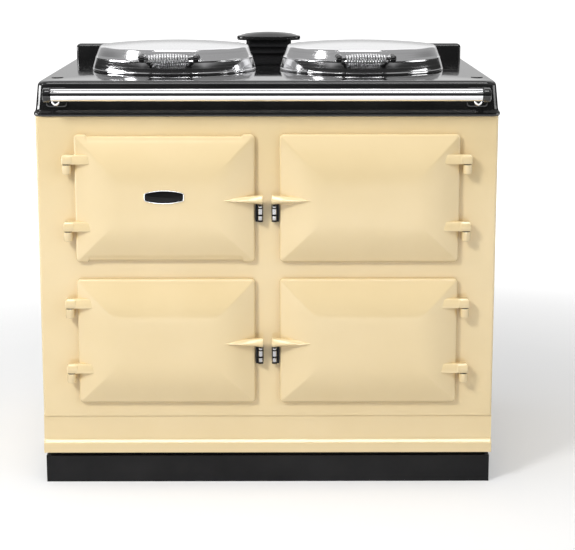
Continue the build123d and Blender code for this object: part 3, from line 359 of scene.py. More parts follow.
# Doors: depths are measured forward from the front plate, insets from a door's edge
EDGE_DEPTH = 14
EDGE_SLOPE = 0.48
EDGE_ROUND = 8.0
SLOPE_START = 5
SLOPE_RUN = 100
REAR_EDGE = [(0, 5), (0, 3), (0.3, 2.3), (1, 2), (9, 2), (9, 7), (15, 7)]
REBATE_DEPTH = 7.0
REBATE_INSET = 8
HOLLOW = [(15, 10.5), (30, 16), (50, 23.5), (72, 31.5), (100, 32), (138, 32)]
ROOT_COVER = 0.6
VENT_CUT = 4
VENT_END = (164.6, 167.4)
STATIONS = [step / 28 for step in range(1, 28)]
STATIONS = sorted(STATIONS + [0.045, 0.05, 0.055, 0.06, 0.94, 0.945, 0.95, 0.955])


def hollow_depth(inset):
    """How far the hollow in a door's back reaches, and nothing at its rim."""
    for (near, shallow), (far, deep) in zip(HOLLOW, HOLLOW[1:]):
        if near <= inset <= far:
            return shallow + (deep - shallow) * (inset - near) / (far - near)
    return REBATE_DEPTH if inset > REBATE_INSET else 0.0


def face_depth(inset):
    """The depth of a door's face: steep at its edge and level towards its middle."""
    run = min(max(inset - SLOPE_START, 0), SLOPE_RUN)
    eased = SLOPE_RUN / 2 / math.pi * math.sin(math.pi * run / SLOPE_RUN)
    return EDGE_DEPTH + EDGE_SLOPE * (run / 2 + eased)


def door_profile():
    """Places of (inset, depth) from the middle of the face round to the middle of the back."""
    places = [(inset, face_depth(inset)) for inset in (138, 120, 110)]
    places += [(inset, face_depth(inset)) for inset in range(104, 4, -4)]
    tilt = math.atan(EDGE_SLOPE)
    middle = face_depth(SLOPE_START) + EDGE_SLOPE * (EDGE_ROUND - SLOPE_START) - EDGE_ROUND / math.cos(tilt)
    for step in range(9):
        angle = tilt + (math.pi / 2 - tilt) * step / 8
        places.append((EDGE_ROUND - EDGE_ROUND * math.sin(angle), middle + EDGE_ROUND * math.cos(angle)))
    return places + REAR_EDGE + HOLLOW


def door_shell(x, z, vents):
    """A door's hollow casting, with its top and bottom edges cut back between the ends for a vent."""
    rings = []
    for inset, depth in door_profile():
        corner = max(9 - inset, 3.5)
        ring = []
        fade = 1 - smooth(5, 18, inset)
        for a, b in oblong(DOOR_HALF_W - inset, DOOR_HALF_H - inset, corner, 8, STATIONS):
            if vents:
                share = 1 - smooth(*VENT_END, abs(a))
                b -= math.copysign(VENT_CUT * share * fade, b) if abs(b) > 100 else 0
            ring.append((x + a, FRONT - depth, z + b))
        rings.append(ring)
    return skin(rings)


LUG_HEIGHTS = (-10, -10, -9.7, -9, 6.2, 7.4, 8.6, 9.5, 10, 10)
LUG_SHOULDER = 6.2
LUG_CHAMFER = 11.3
LUG_BORE = 4.05
LUG_OVERLAP = 5.0
BAR_REACHES = (9.0, 12, 16, 23, 24, 30, 36, 42, 48, 54, 58)
BAR_CHAMFER = 3.8
HINGE_TO_EDGE = 15


def lug_end(side, level):
    """A hinge lug's squared end, bored for the pin."""
    outline = oblong(9.6, 9.8, 3.0, 7)
    rings = []
    for index, height in enumerate(LUG_HEIGHTS):
        bored = index in (0, len(LUG_HEIGHTS) - 1)
        scale = 1 - max(height - LUG_SHOULDER, 0.0) / LUG_CHAMFER - max(-9.0 - height, 0.0) / 9.0
        ring = []
        for a, b in outline:
            place = (a * scale - LUG_OVERLAP * (a < 0), b * scale)
            if bored:
                angle = math.atan2(b, a)
                place = (LUG_BORE * math.cos(angle), LUG_BORE * math.sin(angle))
            ring.append((side * (HINGE_X + place[0]), HINGE_Y + place[1], level + height))
        rings.append(ring)
    return skin(rings, loop=True)


def lug_bar(side, level):
    """The bar that runs from a lug into the door's face, with its root inside the door's wall."""
    rings = []
    for reach in BAR_REACHES:
        tall = 10.02 - 1.7 * smooth(40, 70, reach)
        deep = 9.85 - 1.4 * smooth(40, 70, reach)
        back = 2.6 * smooth(44, 70, reach)
        root = hollow_depth(reach - HINGE_TO_EDGE) + ROOT_COVER
        ring = []
        for a, b in oblong(deep, tall, 1.2, 5):
            slope = max(b - (tall - BAR_CHAMFER), 0.0)
            depth = FRONT - HINGE_Y - back + a * (1 - slope / LUG_CHAMFER)
            depth = max(depth, root + 0.05 * (a + deep))
            ring.append((side * (HINGE_X - reach), FRONT - depth, level + b))
        rings.append(ring)
    return skin(rings)


ARM_SECTION = [
    (0.0, 1.0), (0.3, 1.0), (0.46, 0.99), (0.54, 0.94), (0.62, 0.8), (0.74, 0.52), (0.86, 0.24), (0.95, 0.0),
    (1.0, -0.22), (0.98, -0.38), (0.92, -0.5), (0.8, -0.66), (0.64, -0.84), (0.5, -0.95), (0.4, -1.0),
    (0.0, -1.0),
]
ARM_REACHES = (-17, -16.7, -16.0, -15.0, -8, 0, 10, 20, 30, 40, 50, 58, 66, 74, 80)
ARM_TRIM = {-17: 1.4, -16.7: 0.7, -16.0: 0.2}
ARM_REAR = 20
ARM_FRONT = 38


def arm_shell(side, level):
    """The catch finger: ridged along its front, pointed on the raised face, square past the door's edge."""
    rings = []
    for reach in ARM_REACHES:
        share = (reach + 17) / 90
        tall = max(10 - 7.5 * share, 1.2)
        front = ARM_FRONT - 3.2 * smooth(52, 80, reach)
        trim = ARM_TRIM.get(reach, 0.0)
        root = hollow_depth(reach) + ROOT_COVER
        ring = []
        for deep, high in ARM_SECTION:
            depth = max(ARM_REAR + (front - ARM_REAR - trim) * deep, root + deep)
            ring.append((side * (DOOR_INNER + reach), FRONT - depth, level + high * (tall - trim)))
        rings.append(ring)
    return skin(rings)


ROLLER_X = 15.05
ROLLER_AHEAD = 14
ROLLER_DROP = 13.4
ROLLER_TALL = 33
ROLLER_PROFILE = [
    (2.55, 0), (4.4, 0), (5.0, 0.6), (5.25, 1.2), (5.25, 9.2), (4.9, 9.6), (3.6, 9.6), (3.6, 13.2),
    (4.9, 13.2), (5.25, 13.6), (5.25, 25.0), (4.9, 25.4), (3.6, 25.4), (3.6, 27.6), (4.6, 27.6),
    (4.9, 28.0), (4.9, 32.0), (4.3, 33), (2.55, 33),
]
ROLLER_GROOVES = ((9.6, 13.2), (25.4, 27.6))


def make_roller(name, side, z):
    """A door's catch roller in darkened chrome, with a black ring in each groove, both painted shade."""
    body = name + "_roller"
    base = (side * ROLLER_X, FRONT - ROLLER_AHEAD, z - ROLLER_DROP - ROLLER_TALL)
    turned = lathe(ROLLER_PROFILE, base, (0, 0, 1), 48, loop=True)
    # Darkened chrome: painted shade on the roller's reflections.
    piece(name + "_catch_roller", [turned], "chrome_painted_shade", body, "catch_roller_" + name, slot="chrome")
    # Black rings in the grooves: painted shade where the grooves fall dark.
    bands = []
    for low, high in ROLLER_GROOVES:
        band = [(3.6, low), (4.5, low), (4.6, low + 0.2), (4.6, high - 0.2), (4.5, high), (3.6, high)]
        bands.append(lathe(band, base, (0, 0, 1), 48, loop=True))
    piece(name + "_roller_groove_shade", bands, "satin_black", body)


def make_doors():
    doors = (
        ("control", -1, "high"),
        ("roasting", 1, "high"),
        ("simmering", -1, "low"),
        ("baking", 1, "low"),
    )
    for name, side, row in doors:
        x = side * DOOR_X
        z = DOOR_Z[row]
        shells = [door_shell(x, z, name == "control")]
        for level in LUG_LEVELS:
            shells += [lug_end(side, z + level), lug_bar(side, z + level)]
        shells.append(arm_shell(side, z))
        body = name + "_door"
        piece(name + "_door_casting", shells, "enamel_cream", body, "door_" + name, sharp=50.0)
        make_roller(name, side, z)
        if name != "control":
            piece(name + "_rope_seal", [rope_shell(x, z)], "rope_seal", body, "door_seal_" + name)


def rope_shell(x, z):
    """A twisted rope, pressed flat, round the liner's plug."""
    half_w = 170.7 + 4.5
    half_h = 116.2 + 4.5
    corner = 12.5
    flat_w = half_w - corner
    flat_h = half_h - corner
    around = 4 * flat_w + 4 * flat_h + 2 * math.pi * corner
    count = 500
    twist = 90
    sides = 18
    rings = []
    for step in range(count):
        place, outward = oblong_place(flat_w, flat_h, corner, around * step / count)
        ring = []
        for turn in range(sides):
            angle = 2 * math.pi * turn / sides
            phase = 4 * angle - 2 * math.pi * twist * step / count * 4 / 3
            ridge = 1 - 0.13 * (0.5 - 0.5 * math.cos(phase))
            a = 4.4 * ridge * math.cos(angle)
            depth = 2.65 + 2.3 * ridge * math.sin(angle)
            ring.append((x + place[0] + outward[0] * a, FRONT - depth, z + place[1] + outward[1] * a))
        rings.append(ring)
    return skin(rings, loop=True)


def oblong_place(flat_a, flat_b, radius, distance):
    """The point, and the outward direction there, a distance round a rounded rectangle."""
    quarter = math.pi * radius / 2
    runs = (
        ((flat_a + radius, -flat_b), (0, 1), (1, 0), 2 * flat_b, (flat_a, flat_b), 0),
        ((flat_a, flat_b + radius), (-1, 0), (0, 1), 2 * flat_a, (-flat_a, flat_b), 90),
        ((-flat_a - radius, flat_b), (0, -1), (-1, 0), 2 * flat_b, (-flat_a, -flat_b), 180),
        ((-flat_a, -flat_b - radius), (1, 0), (0, -1), 2 * flat_a, (flat_a, -flat_b), 270),
    )
    for start, heading, outward, length, centre, first in runs:
        if distance <= length:
            return (start[0] + heading[0] * distance, start[1] + heading[1] * distance), outward
        distance -= length
        if distance <= quarter:
            angle = math.radians(first + 90 * distance / quarter)
            way = (math.cos(angle), math.sin(angle))
            return (centre[0] + radius * way[0], centre[1] + radius * way[1]), way
        distance -= quarter
    return runs[0][0], runs[0][2]


# Lids and their handles
EAR_RADIUS = 9
EAR_SECTIONS = ((-18, 0.8), (-17.2, 0), (17.2, 0), (18, 0.8))
POST_REACH = 53
POST_OFFSET = 6.5
WIRE_RADIUS = 2.1
LID_PLATE = [
    (0.4, 12.0), (150, 12.0), (153, 12.4), (155, 13.0), (160, 13.0), (162, 12.4), (165, 12.0),
    (181.5, 12.0), (182.6, 12.5), (182.6, 13.6), (181.5, 14.0), (0.4, 14.0),
]
POST_BALL = [
    (2.6, 0), (5.6, 0.2), (6.9, 0.9), (7.8, 2.4), (8.2, 4.6), (8.2, 8.4), (7.8, 10.4), (6.6, 12.0),
    (4.6, 12.8), (0.3, 13.0),
]
POST_STEM = [
    (4.2, 0), (5.2, 6.5), (5.3, 8), (4.9, 14), (4.9, 32), (5.3, 37), (6.6, 40), (7.4, 42), (7.4, 46.2),
]


def crown_height(radius):
    """The height of a lid's shallow crown above the deck."""
    return 56 + 9 * (1 - (radius / 170) ** 2)


def lid_profile():
    """A lid's section, from the middle of its crown out over its beads and back inside."""
    outer = [(0.4, 65.0)]
    outer += [(radius, crown_height(radius)) for radius in (20, 45, 70, 95, 115, 132, 146, 156)]
    start = Vector((165.0, crown_height(165.0)))
    corner = Vector((170.0, 56.0))
    end = Vector((171.8, 51.7))
    for step in range(9):
        share = step / 8
        point = start * (1 - share) ** 2 + corner * 2 * share * (1 - share) + end * share ** 2
        outer.append((point.x, point.y))
    outer += [(175.5, 43.0), (178.2, 36.6), (180.0, 32.4), (180.7, 31.4), (181.3, 30.8), (181.6, 30.0)]
    outer += [(181.6, 29.0), (181.5, 28.2), (181.9, 27.0), (184.2, 19.0), (186.6, 10.6), (187.3, 7.0)]
    outer += [(187.5, 5.6), (188.2, 4.9), (188.5, 4.0), (188.5, 1.4), (188.2, 0.7), (187.4, 0.5)]
    inner = [(186.0, 0.6), (185.8, 4.0), (184.0, 10.0), (179.0, 28.0), (170.5, 48.5), (167.0, 53.4)]
    inner += [(160.0, 54.6), (130.0, 57.4), (90.0, 60.0), (45.0, 61.9), (0.4, 62.5)]
    return outer + inner


def ear_shell(x):
    """A lid's hinge ear, rounded about the hinge and run forward into the lid."""
    rings = []
    for half, trim in EAR_SECTIONS:
        radius = EAR_RADIUS - trim
        ring = []
        for step in range(25):
            angle = math.radians(-90 + 180 * step / 24)
            y = LID_HINGE_Y + radius * math.cos(angle)
            ring.append((x + half, y, LID_HINGE_Z + radius * math.sin(angle)))
        ring.append((x + half, 201.5, LID_HINGE_Z + EAR_RADIUS - trim))
        ring.append((x + half, 205.5, LID_HINGE_Z - EAR_RADIUS + trim))
        rings.append(ring)
    return skin(rings)


def coil_path(x):
    """The wound grip's middle line: a short tail at each end and a barrel of close turns."""
    turns = 15
    length = 87.6
    steps = 24
    tail = 12
    path = []
    for step in range(-tail, turns * steps + tail + 1):
        turn = step / steps
        wound = min(max(turn, 0), turns)
        along = (wound / turns - 0.5) * length
        over = max(-turn, turn - turns, 0) / 0.5
        side = -1 if turn < 0 else 1
        radius = 9.2 - 3.5 * (2 * along / length) ** 2
        turn_in = side * 0.139 * math.sin(min(over, 1) * math.pi / 2)
        angle = 2 * math.pi * (wound + turn_in)
        place = x + along + side * 9.2 * (0.25 * over + 0.75 * over * over)
        path.append((place, HANDLE_Y + radius * math.cos(angle), HANDLE_Z + radius * math.sin(angle)))
    return path


def make_lids():
    for name, side in (("left", -1), ("right", 1)):
        x = side * PLATE_X
        body = name + "_lid"
        dome = lathe(lid_profile(), (x, PLATE_Y, DECK), (0, 0, 1), 192)
        shells = [dome, ear_shell(x)]
        piece(name + "_lid_dome", shells, "polished_steel", body, "lid_shell_" + name, sharp=42.0)
        turned = lathe(LID_PLATE, (x, PLATE_Y, DECK), (0, 0, 1), 128)
        piece(name + "_lid_plate", [turned], "sheet_steel", body, "lid_liner_" + name)
        posts = []
        for end in (-1, 1):
            inner = x + end * POST_REACH
            posts.append(lathe(POST_BALL, (inner, HANDLE_Y, HANDLE_Z), (end, 0, 0), 40))
            stem_foot = (inner + end * POST_OFFSET, HANDLE_Y, HANDLE_Z)
            posts.append(lathe(POST_STEM, stem_foot, (0, 1, 0), 36))
        core = [(2.5, -POST_REACH), (2.5, POST_REACH)]
        posts.append(lathe(core, (x, HANDLE_Y, HANDLE_Z), (1, 0, 0), 24))
        piece(name + "_handle_posts", posts, "enamel_black", body, "lid_handle_frame_" + name)
        coil = tube(coil_path(x), WIRE_RADIUS, 14)
        piece(name + "_handle_coil", [coil], "wire_steel", body, "lid_handle_coil_" + name)


# Rail, badge and knobs
BADGE_Z = 647.0
BADGE_FACE = -331.5
BADGE_HALF_W = 43
BADGE_HALF_H = 15
BADGE_RIM = 2.4
KNOB_PITCH = 92
DIAL_RADIUS = 33
DIAL_STEP = 45
KNOB_PROFILE = [
    (0.4, 0), (23.2, 0), (24, 0.8), (24, 3.2), (23, 4), (21, 4.6), (20.6, 6), (19.8, 12.6), (18.8, 13.8),
    (17, 14), (0.4, 14),
]
KNOB_BAR = ((12, 0), (19, 0.4), (21, 0.9), (21.8, 1.7), (22, 2.6))


def make_rail():
    profile = [(0.4, -RAIL_END), (10.2, -RAIL_END), (10.8, -453.3), (12.9, -451.2), (13, -450.7)]
    profile += [(13, -300), (13, -100), (13, 100), (13, 300)]
    profile += [(radius, -along) for radius, along in reversed(profile[:5])]
    turned = lathe(profile, (0, RAIL_Y, RAIL_Z), (1, 0, 0), 96)
    piece("front_rail", [turned], "chrome", "cooker_body", "handrail_tube")


def lozenge(margin):
    """Points round the badge's outline, drawn in by a margin, as (across, up), with its corners rounded."""
    half_w = BADGE_HALF_W - margin
    half_h = BADGE_HALF_H - margin
    end = half_h * 0.56
    radius = (half_w ** 2 + (half_h - end) ** 2) / (2 * (half_h - end))
    round_off = 4.2 - margin * 0.4
    points = []
    for step in range(25):
        a = (half_w - round_off) * (1 - step / 12)
        points.append((a, half_h - radius + math.sqrt(radius ** 2 - a ** 2)))
    start = points[-1]
    for step in range(1, 8):
        share = step / 8
        a = start[0] * (1 - share) ** 2 - half_w * (2 * share * (1 - share) + share ** 2)
        b = start[1] * (1 - share) ** 2 + end * 2 * share * (1 - share) + (end - round_off) * share ** 2
        points.append((a, b))
    lower = [(a, -b) for a, b in reversed(points[25:])]
    left = points + [(-half_w, end - round_off), (-half_w, 0), (-half_w, round_off - end)] + lower
    return left + [(-a, -b) for a, b in left]


def badge_ring(margin, depth):
    """The badge's outline on the control door's face, drawn in by a margin and set forward."""
    return [(-DOOR_X + a, BADGE_FACE - depth, BADGE_Z + b) for a, b in lozenge(margin)]


def make_badge():
    rim = [(0, 0), (0, 1.6), (0.3, 2.4), (0.9, 2.9), (1.5, 2.9), (2.1, 2.4), (BADGE_RIM, 1.8), (BADGE_RIM, 0)]
    trim = skin([badge_ring(*place) for place in rim], loop=True)
    piece("badge_trim", [trim], "chrome", "control_door", "badge_rim")
    crown = [(BADGE_RIM, 0), (BADGE_RIM, 1.2), (4.0, 1.5), (6.5, 1.75), (9.0, 1.9), (11.5, 2.0)]
    field = skin([badge_ring(*place) for place in crown])
    piece("badge_field", [field], "plate_black", "control_door", "badge_plate", slot="enamel_black")


def make_knobs():
    z = DOOR_Z["high"]
    seat = PANEL_FACE - 1
    for index, name in enumerate(("left", "middle", "right")):
        x = -DOOR_X + KNOB_PITCH * (index - 1)
        shells = [lathe(KNOB_PROFILE, (x, seat, z), (0, -1, 0), 72)]
        rings = []
        for deep, shrink in KNOB_BAR:
            outline = superellipse(4.5 - shrink * 0.8, 20.2 - shrink, 5.0, 40)
            rings.append([(x + a, seat - deep, z + b) for a, b in outline])
        shells.append(skin(rings))
        shells.append(lathe([(4.0, 0), (4.0, 15)], (x, seat, z), (0, 1, 0), 24))
        body = name + "_knob"
        piece(name + "_knob_grip", shells, "black_plastic", body, "control_knob_" + name)
        mark = [(x + a, seat - 22.15, z + 11 + b) for a, b in superellipse(0.8, 6.5, 6.0, 24)]
        mark_back = [(px, seat - 21.2, pz) for px, _, pz in mark]
        pointer = skin([mark_back, mark])
        piece(name + "_knob_pointer", [pointer], "dial_white", body, slot="black_plastic")
        for number in range(7):
            angle = math.radians(90 - DIAL_STEP * number)
            label_x = x + DIAL_RADIUS * math.cos(angle)
            label_z = z + DIAL_RADIUS * math.sin(angle)
            label(name + "_dial_" + str(number), str(number), label_x, label_z)


def label(name, text, x, z):
    """A plain figure on the control panel."""
    curve = bpy.data.curves.new(name, "FONT")
    curve.body = text
    curve.size = 0.011
    curve.align_x = "CENTER"
    curve.align_y = "CENTER"
    curve.extrude = 0.0001
    curve.materials.append(FINISH["dial_white"])
    obj = bpy.data.objects.new(name, curve)
    place = Matrix.Translation((x / 1000, (PANEL_FACE - 0.15) / 1000, z / 1000))
    obj.matrix_world = place @ Matrix.Rotation(math.pi / 2, 4, "X")
    scene.collection.objects.link(obj)
    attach(obj, "cooker_body")


# Lower panel, top plate, upstand, brackets, hinge seats and wool
SKIRT_PROFILE = [
    (-14, 70), (6.4, 70), (7.6, 70.5), (8, 71.6), (8, 72.4), (8, 88.8), (8, 89.6), (7.8, 91.0), (7.2, 92.2),
    (6.2, 93.3), (3.4, 96.1), (0.4, 98.9), (-0.5, 100.1), (-0.9, 101.6), (-1.2, 104.5), (-1.8, 112),
    (-2.4, 122), (-2.8, 134), (-3.0, 146), (-3.0, 152.6), (-14, 152.6),
]
SKIRT_ENDS = ((-494, 0.8), (-493.2, 0.0), (-491, 0.0), (-460, 0.0))
LIP_HALF_W = 498.5
LIP_FRONT = -297.5
LIP_BACK = 357.5
LIP_BOTTOM = 815
LIP_LEVELS = [
    (8.0, 0.0), (1.4, 0.0), (0.4, 1.0), (0.0, 2.6), (0.0, 5.6), (0.6, 8.0), (2.2, 10.2), (3.4, 12.6),
    (4.0, 16.0),
]
FASCIA_TOP = 63
FASCIA_DRAFT = 8.5
SHOULDER = 12
PLAN_CORNER = 22.0
WELL_RADIUS = 168
WELL_DEPTH = 9


def make_skirt():
    """The lower front panel: set back under the front plate, coved, with a rounded proud band."""
    rings = []
    for x, trim in SKIRT_ENDS + tuple((-x, trim) for x, trim in reversed(SKIRT_ENDS)):
        rings.append([(x, FRONT - depth + trim * (depth > 0), z) for depth, z in SKIRT_PROFILE])
    piece("skirt_front", [skin(rings)], "enamel_cream", "cooker_body", "skirt_panel")


def plan(out, corner):
    """The top plate's outline drawn in from its lip, as (x, y), round from the back left."""
    half = LIP_HALF_W - out
    front = LIP_FRONT + out
    back = LIP_BACK
    points = []
    for step in range(21):
        points.append((-half, back + (front + corner - back) * step / 20))
    for step in range(1, 13):
        angle = math.radians(180 + 90 * step / 12)
        across = -half + corner + corner * math.cos(angle)
        points.append((across, front + corner + corner * math.sin(angle)))
    for step in range(1, 40):
        points.append(((-half + corner) * (1 - step / 20), front))
    points += [(-x, y) for x, y in reversed(points[:33])]
    for step in range(1, 40):
        points.append((half * (1 - step / 20), back))
    return points


def plate_rings():
    """Rings up the top plate's edge: a beaded lip, a drafted fascia and a rounded shoulder."""
    levels = LIP_LEVELS + [(4.0 + 4.5 * share / 6, 16.0 + 47.0 * share / 6) for share in range(1, 7)]
    for step in range(1, 9):
        angle = math.radians(90 * step / 8)
        out = FASCIA_DRAFT + SHOULDER - SHOULDER * math.cos(angle)
        levels.append((out, FASCIA_TOP + SHOULDER * math.sin(angle)))
    rings = []
    for out, height in levels:
        ring = []
        for x, y in plan(out, PLAN_CORNER):
            at_back = height > FASCIA_TOP and y > 357
            ring.append((x, y - (out - FASCIA_DRAFT if at_back else 0), LIP_BOTTOM + height))
        rings.append(ring)
    return rings


def filled(loops):
    """A flat face inside the first loop, with the other loops as holes."""
    work = bmesh.new()
    for loop in loops:
        corners = [work.verts.new(point) for point in loop]
        for index, corner in enumerate(corners):
            work.edges.new((corner, corners[(index + 1) % len(corners)]))
    bmesh.ops.triangle_fill(work, use_beauty=True, use_dissolve=False, edges=work.edges[:])
    work.verts.index_update()
    points = [tuple(vert.co) for vert in work.verts]
    faces = [tuple(vert.index for vert in face.verts) for face in work.faces]
    work.free()
    return points, faces


def make_top_plate():
    """One casting: the edge, the deck with its two holes, and the holes' walls."""
    rings = plate_rings()
    points, faces = skin(rings)
    edge = (points, faces[:-2])
    wells = []
    for x in (-PLATE_X, PLATE_X):
        well = []
        for step in range(96):
            angle = 2 * math.pi * step / 96
            well.append((x + WELL_RADIUS * math.cos(angle), PLATE_Y + WELL_RADIUS * math.sin(angle), DECK))
        wells.append(well)
    deck = filled([rings[-1]] + wells)
    walls = []
    for well in wells:
        low = [(x, y, z - WELL_DEPTH) for x, y, z in well]
        wall_points, wall_faces = skin([well, low])
        walls.append((wall_points, wall_faces[:-2]))
    casting = merge([edge, deck] + walls)
    piece("top_casting", [casting], "enamel_black", "cooker_body", "top_plate", sharp=50.0)


def merge(shells):
    """Shells as one, with points that coincide joined."""
    places = {}
    points = []
    faces = []
    for shell_points, shell_faces in shells:
        numbers = []
        for point in shell_points:
            key = tuple(round(value, 3) for value in point)
            if key not in places:
                places[key] = len(points)
                points.append(point)
            numbers.append(places[key])
        for face in shell_faces:
            corners = []
            for index in face:
                if numbers[index] not in corners:
                    corners.append(numbers[index])
            if len(corners) > 2:
                faces.append(tuple(corners))
    return points, faces


def with_long_sides(outline):
    """An outline with points set along its long straight sides."""
    points = []
    for start, end in zip(outline, outline[1:] + outline[:1]):
        points.append(start)
        if abs(end[0] - start[0]) > 50:
            points += [(start[0] + (end[0] - start[0]) * step / 16, start[1]) for step in range(1, 16)]
    return points


BLOCK_X = 281.5
BLOCK_HALF_W = 196.5
BLOCK_HALF_D = 22.5
UPSTAND_LEVELS = (
    (0.0, 0.0), (0.0, 10.0), (0.0, 31.0), (0.6, 34.1), (2.3, 36.7), (4.9, 38.4), (8.0, 39.0),
)
CAP_HALF_W = 79
CAP_HALF_D = 27
CAP_DOME = 9.2
CAP_LEVELS = [(2.2, -20.0), (0.8, -19.6), (0.0, -18.4), (0.0, -12.6), (0.4, -11.0), (1.4, -9.9), (2.6, -9.4)]
CAP_LEVELS += [(inset, -CAP_DOME) for inset in (4.0, 6.0, 8.5, 11, 14, 17, 20, 23, 25, 26.6)]


def make_upstand():
    """The two rear blocks with every edge rounded, and the vent's cap with its low dome."""
    shells = []
    for side in (-1, 1):
        rings = []
        for drop, height in UPSTAND_LEVELS:
            corner = max(6.5 - drop * 0.4, 2.0)
            outline = oblong(BLOCK_HALF_W - drop, BLOCK_HALF_D - drop, corner, 7)
            rings.append([(side * BLOCK_X + a, UPSTAND_Y + b, DECK + height) for a, b in outline])
        shells.append(skin(rings))
    piece("upstand_blocks", shells, "enamel_black", "cooker_body", "rear_upstand", sharp=50.0)
    rings = []
    for inset, height in CAP_LEVELS:
        ring = []
        share = max(inset - 3.0, 0.0) / 24.0
        outline = oblong(CAP_HALF_W - inset, CAP_HALF_D - inset, CAP_HALF_D - 0.01 - inset, 14)
        for a, b in with_long_sides(outline):
            dome = CAP_DOME * (1 - (1 - share) ** 2) * (1 - 0.8 * (a / CAP_HALF_W) ** 2)
            ring.append((a, UPSTAND_Y + b, TOP + height + dome))
        rings.append(ring)
    piece("vent_dome", [skin(rings)], "enamel_black", "cooker_body", "vent_cap", sharp=50.0)


PLUG_X = 456
PLUG_Y = -203.5


def make_plugs():
    """The two blanking caps in the deck, each a low button with a rolled edge."""
    button = [(0.3, 2.0), (8.0, 1.98), (11.0, 1.9), (12.2, 1.6), (12.8, 1.0), (13.0, 0.2), (13.0, -2.0)]
    shells = [lathe(button, (side * PLUG_X, PLUG_Y, DECK), (0, 0, 1), 48) for side in (-1, 1)]
    piece("deck_plugs", shells, "enamel_black", "cooker_body", "plate_plugs")


NECK_X = 461
FOOT_X = 446.5
FOOT_Z = 856
BRACKET_HEAD = [
    (0.4, 0), (12.6, 0), (14.2, 0.6), (15, 2.0), (15, 12.6), (14.2, 14.2), (12.4, 15), (0.4, 15),
]
BRACKET_NECK = (
    (-346, 5.4, 9.0), (-332, 5.4, 9.0), (-318, 6.0, 9.6), (-306, 7.2, 12.0), (-289, 7.4, 13.0),
)
BRACKET_FOOT = ((-287, 0.0), (-297, 0.0), (-297.9, 0.3), (-298.4, 0.9), (-298.6, 1.8), (-298.6, 3.5))


def make_brackets():
    """The rail's end blocks: a rounded head, a neck back to the fascia and a foot plate."""
    shells = []
    for side in (-1, 1):
        shells.append(lathe(BRACKET_HEAD, (side * RAIL_END, RAIL_Y, RAIL_Z), (side, 0, 0), 64))
        neck = []
        for y, wide, tall in BRACKET_NECK:
            neck.append([(side * NECK_X + a, y, RAIL_Z + b) for a, b in oblong(wide, tall, 4.5, 5)])
        shells.append(skin(neck))
        foot = []
        for y, trim in BRACKET_FOOT:
            outline = oblong(22 - trim, 21 - trim, 6.0, 6)
            foot.append([(side * FOOT_X + a, y, FOOT_Z + b) for a, b in outline])
        shells.append(skin(foot))
    piece("rail_brackets", shells, "enamel_black", "cooker_body", "handrail_brackets")


SEAT_DROP = 12.2
SEAT_PROFILE = [
    (0.4, -20), (6.6, -20), (8.6, -19.2), (9.5, -17.2), (9.5, -0.9), (8.7, 0), (4.0, 0), (4.0, 22.2),
    (0.4, 22.2),
]
SEAT_WEB = (
    (-311.5, 5.5, -18.5), (-302, 5.5, -19), (-297, 6.2, -19.8), (-293.5, 7.6, -20), (-292, 7.6, -20),
)


def make_pintles():
    """The lower halves of the hinges: a round seat with its web and pin."""
    shells = []
    for side in (-1, 1):
        x = side * HINGE_X
        for z in DOOR_Z.values():
            for level in LUG_LEVELS:
                top = z + level - SEAT_DROP
                shells.append(lathe(SEAT_PROFILE, (x, HINGE_Y, top), (0, 0, 1), 48))
                web = []
                for y, wide, low in SEAT_WEB:
                    outline = oblong(wide, -low / 2, 2.2, 4)
                    web.append([(x + a, y, top + low / 2 + b) for a, b in outline])
                shells.append(skin(web))
    piece("hinge_seats", shells, "enamel_cream", "cooker_body", "hinge_pintles")


def make_wool():
    """Loose wool in the room that the casing's filling has, drawn in where it is lumpy."""
    source = frame["nodes"]["insulation_core"]
    wool = bpy.data.objects.new("wool_fill", source.data.copy())
    scene.collection.objects.link(wool)
    clouds = bpy.data.textures.new("wool_lumps", "CLOUDS")
    clouds.noise_scale = 0.06
    remesh = wool.modifiers.new("felt", "REMESH")
    remesh.mode = "VOXEL"
    remesh.voxel_size = 0.012
    lumps = wool.modifiers.new("lumps", "DISPLACE")
    lumps.texture = clouds
    lumps.strength = 0.008
    lumps.mid_level = 1.0
    mesh = bpy.data.meshes.new_from_object(wool.evaluated_get(bpy.context.evaluated_depsgraph_get()))
    wool.modifiers.clear()
    wool.data = mesh
    mesh.materials.clear()
    mesh.materials.append(FINISH["mineral_wool"])
    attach(wool, "cooker_body")
    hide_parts("insulation_core")


def dress_nodes():
    """Every CAD node that stays takes its slot's material; the hinge washers take black instead, painted
    shade for the gap under each lug.
    """
    finishes = {entry["node"]: entry["material_slot"] for entry in frame["record"]["subparts"]}
    # Black washers: painted shade in the gap between each lug and its seat.
    finishes["hinge_washers"] = "satin_black"
    for node, finish in finishes.items():
        mesh = frame["nodes"][node].data
        mesh.materials.clear()
        mesh.materials.append(FINISH[finish])


# Stage, lamps and camera, in metres
FLOOR_HALF = 30
FLOOR_GREY = 0.64
FLOOR_GLOW = (0.32, 1.0)
FLOOR_GLOW_REACH = (0.9, 3.2)
WORLD_FILL = 0.34
ROOM_HALF_W = 5
ROOM_FRONT = -4.7
ROOM_BACK = 8.7
ROOM_TALL = 5.2
WALL_LEVELS = (0.03, 0.4)
WALL_RISE = (2.7, 3.5)
BOARD_LEAN = (0.0, 0.2, 1.0)
FRONT_AIM = (0.0, -0.3, 0.5)
SENSOR_WIDTH = 36.0
CAMERA_LENS = 99.67
CAMERA_SHIFT = -0.06
CAMERA_PLACE = (0.025, -3.672, 1.19)
CAMERA_DIP = 10.794
CAMERA_YAW = -0.313


def surface(name, build):
    """A material whose nodes come from a function of its tree."""
    material = bpy.data.materials.new(name)
    material.use_nodes = True
    material.node_tree.nodes.clear()
    build(material.node_tree)
    return material


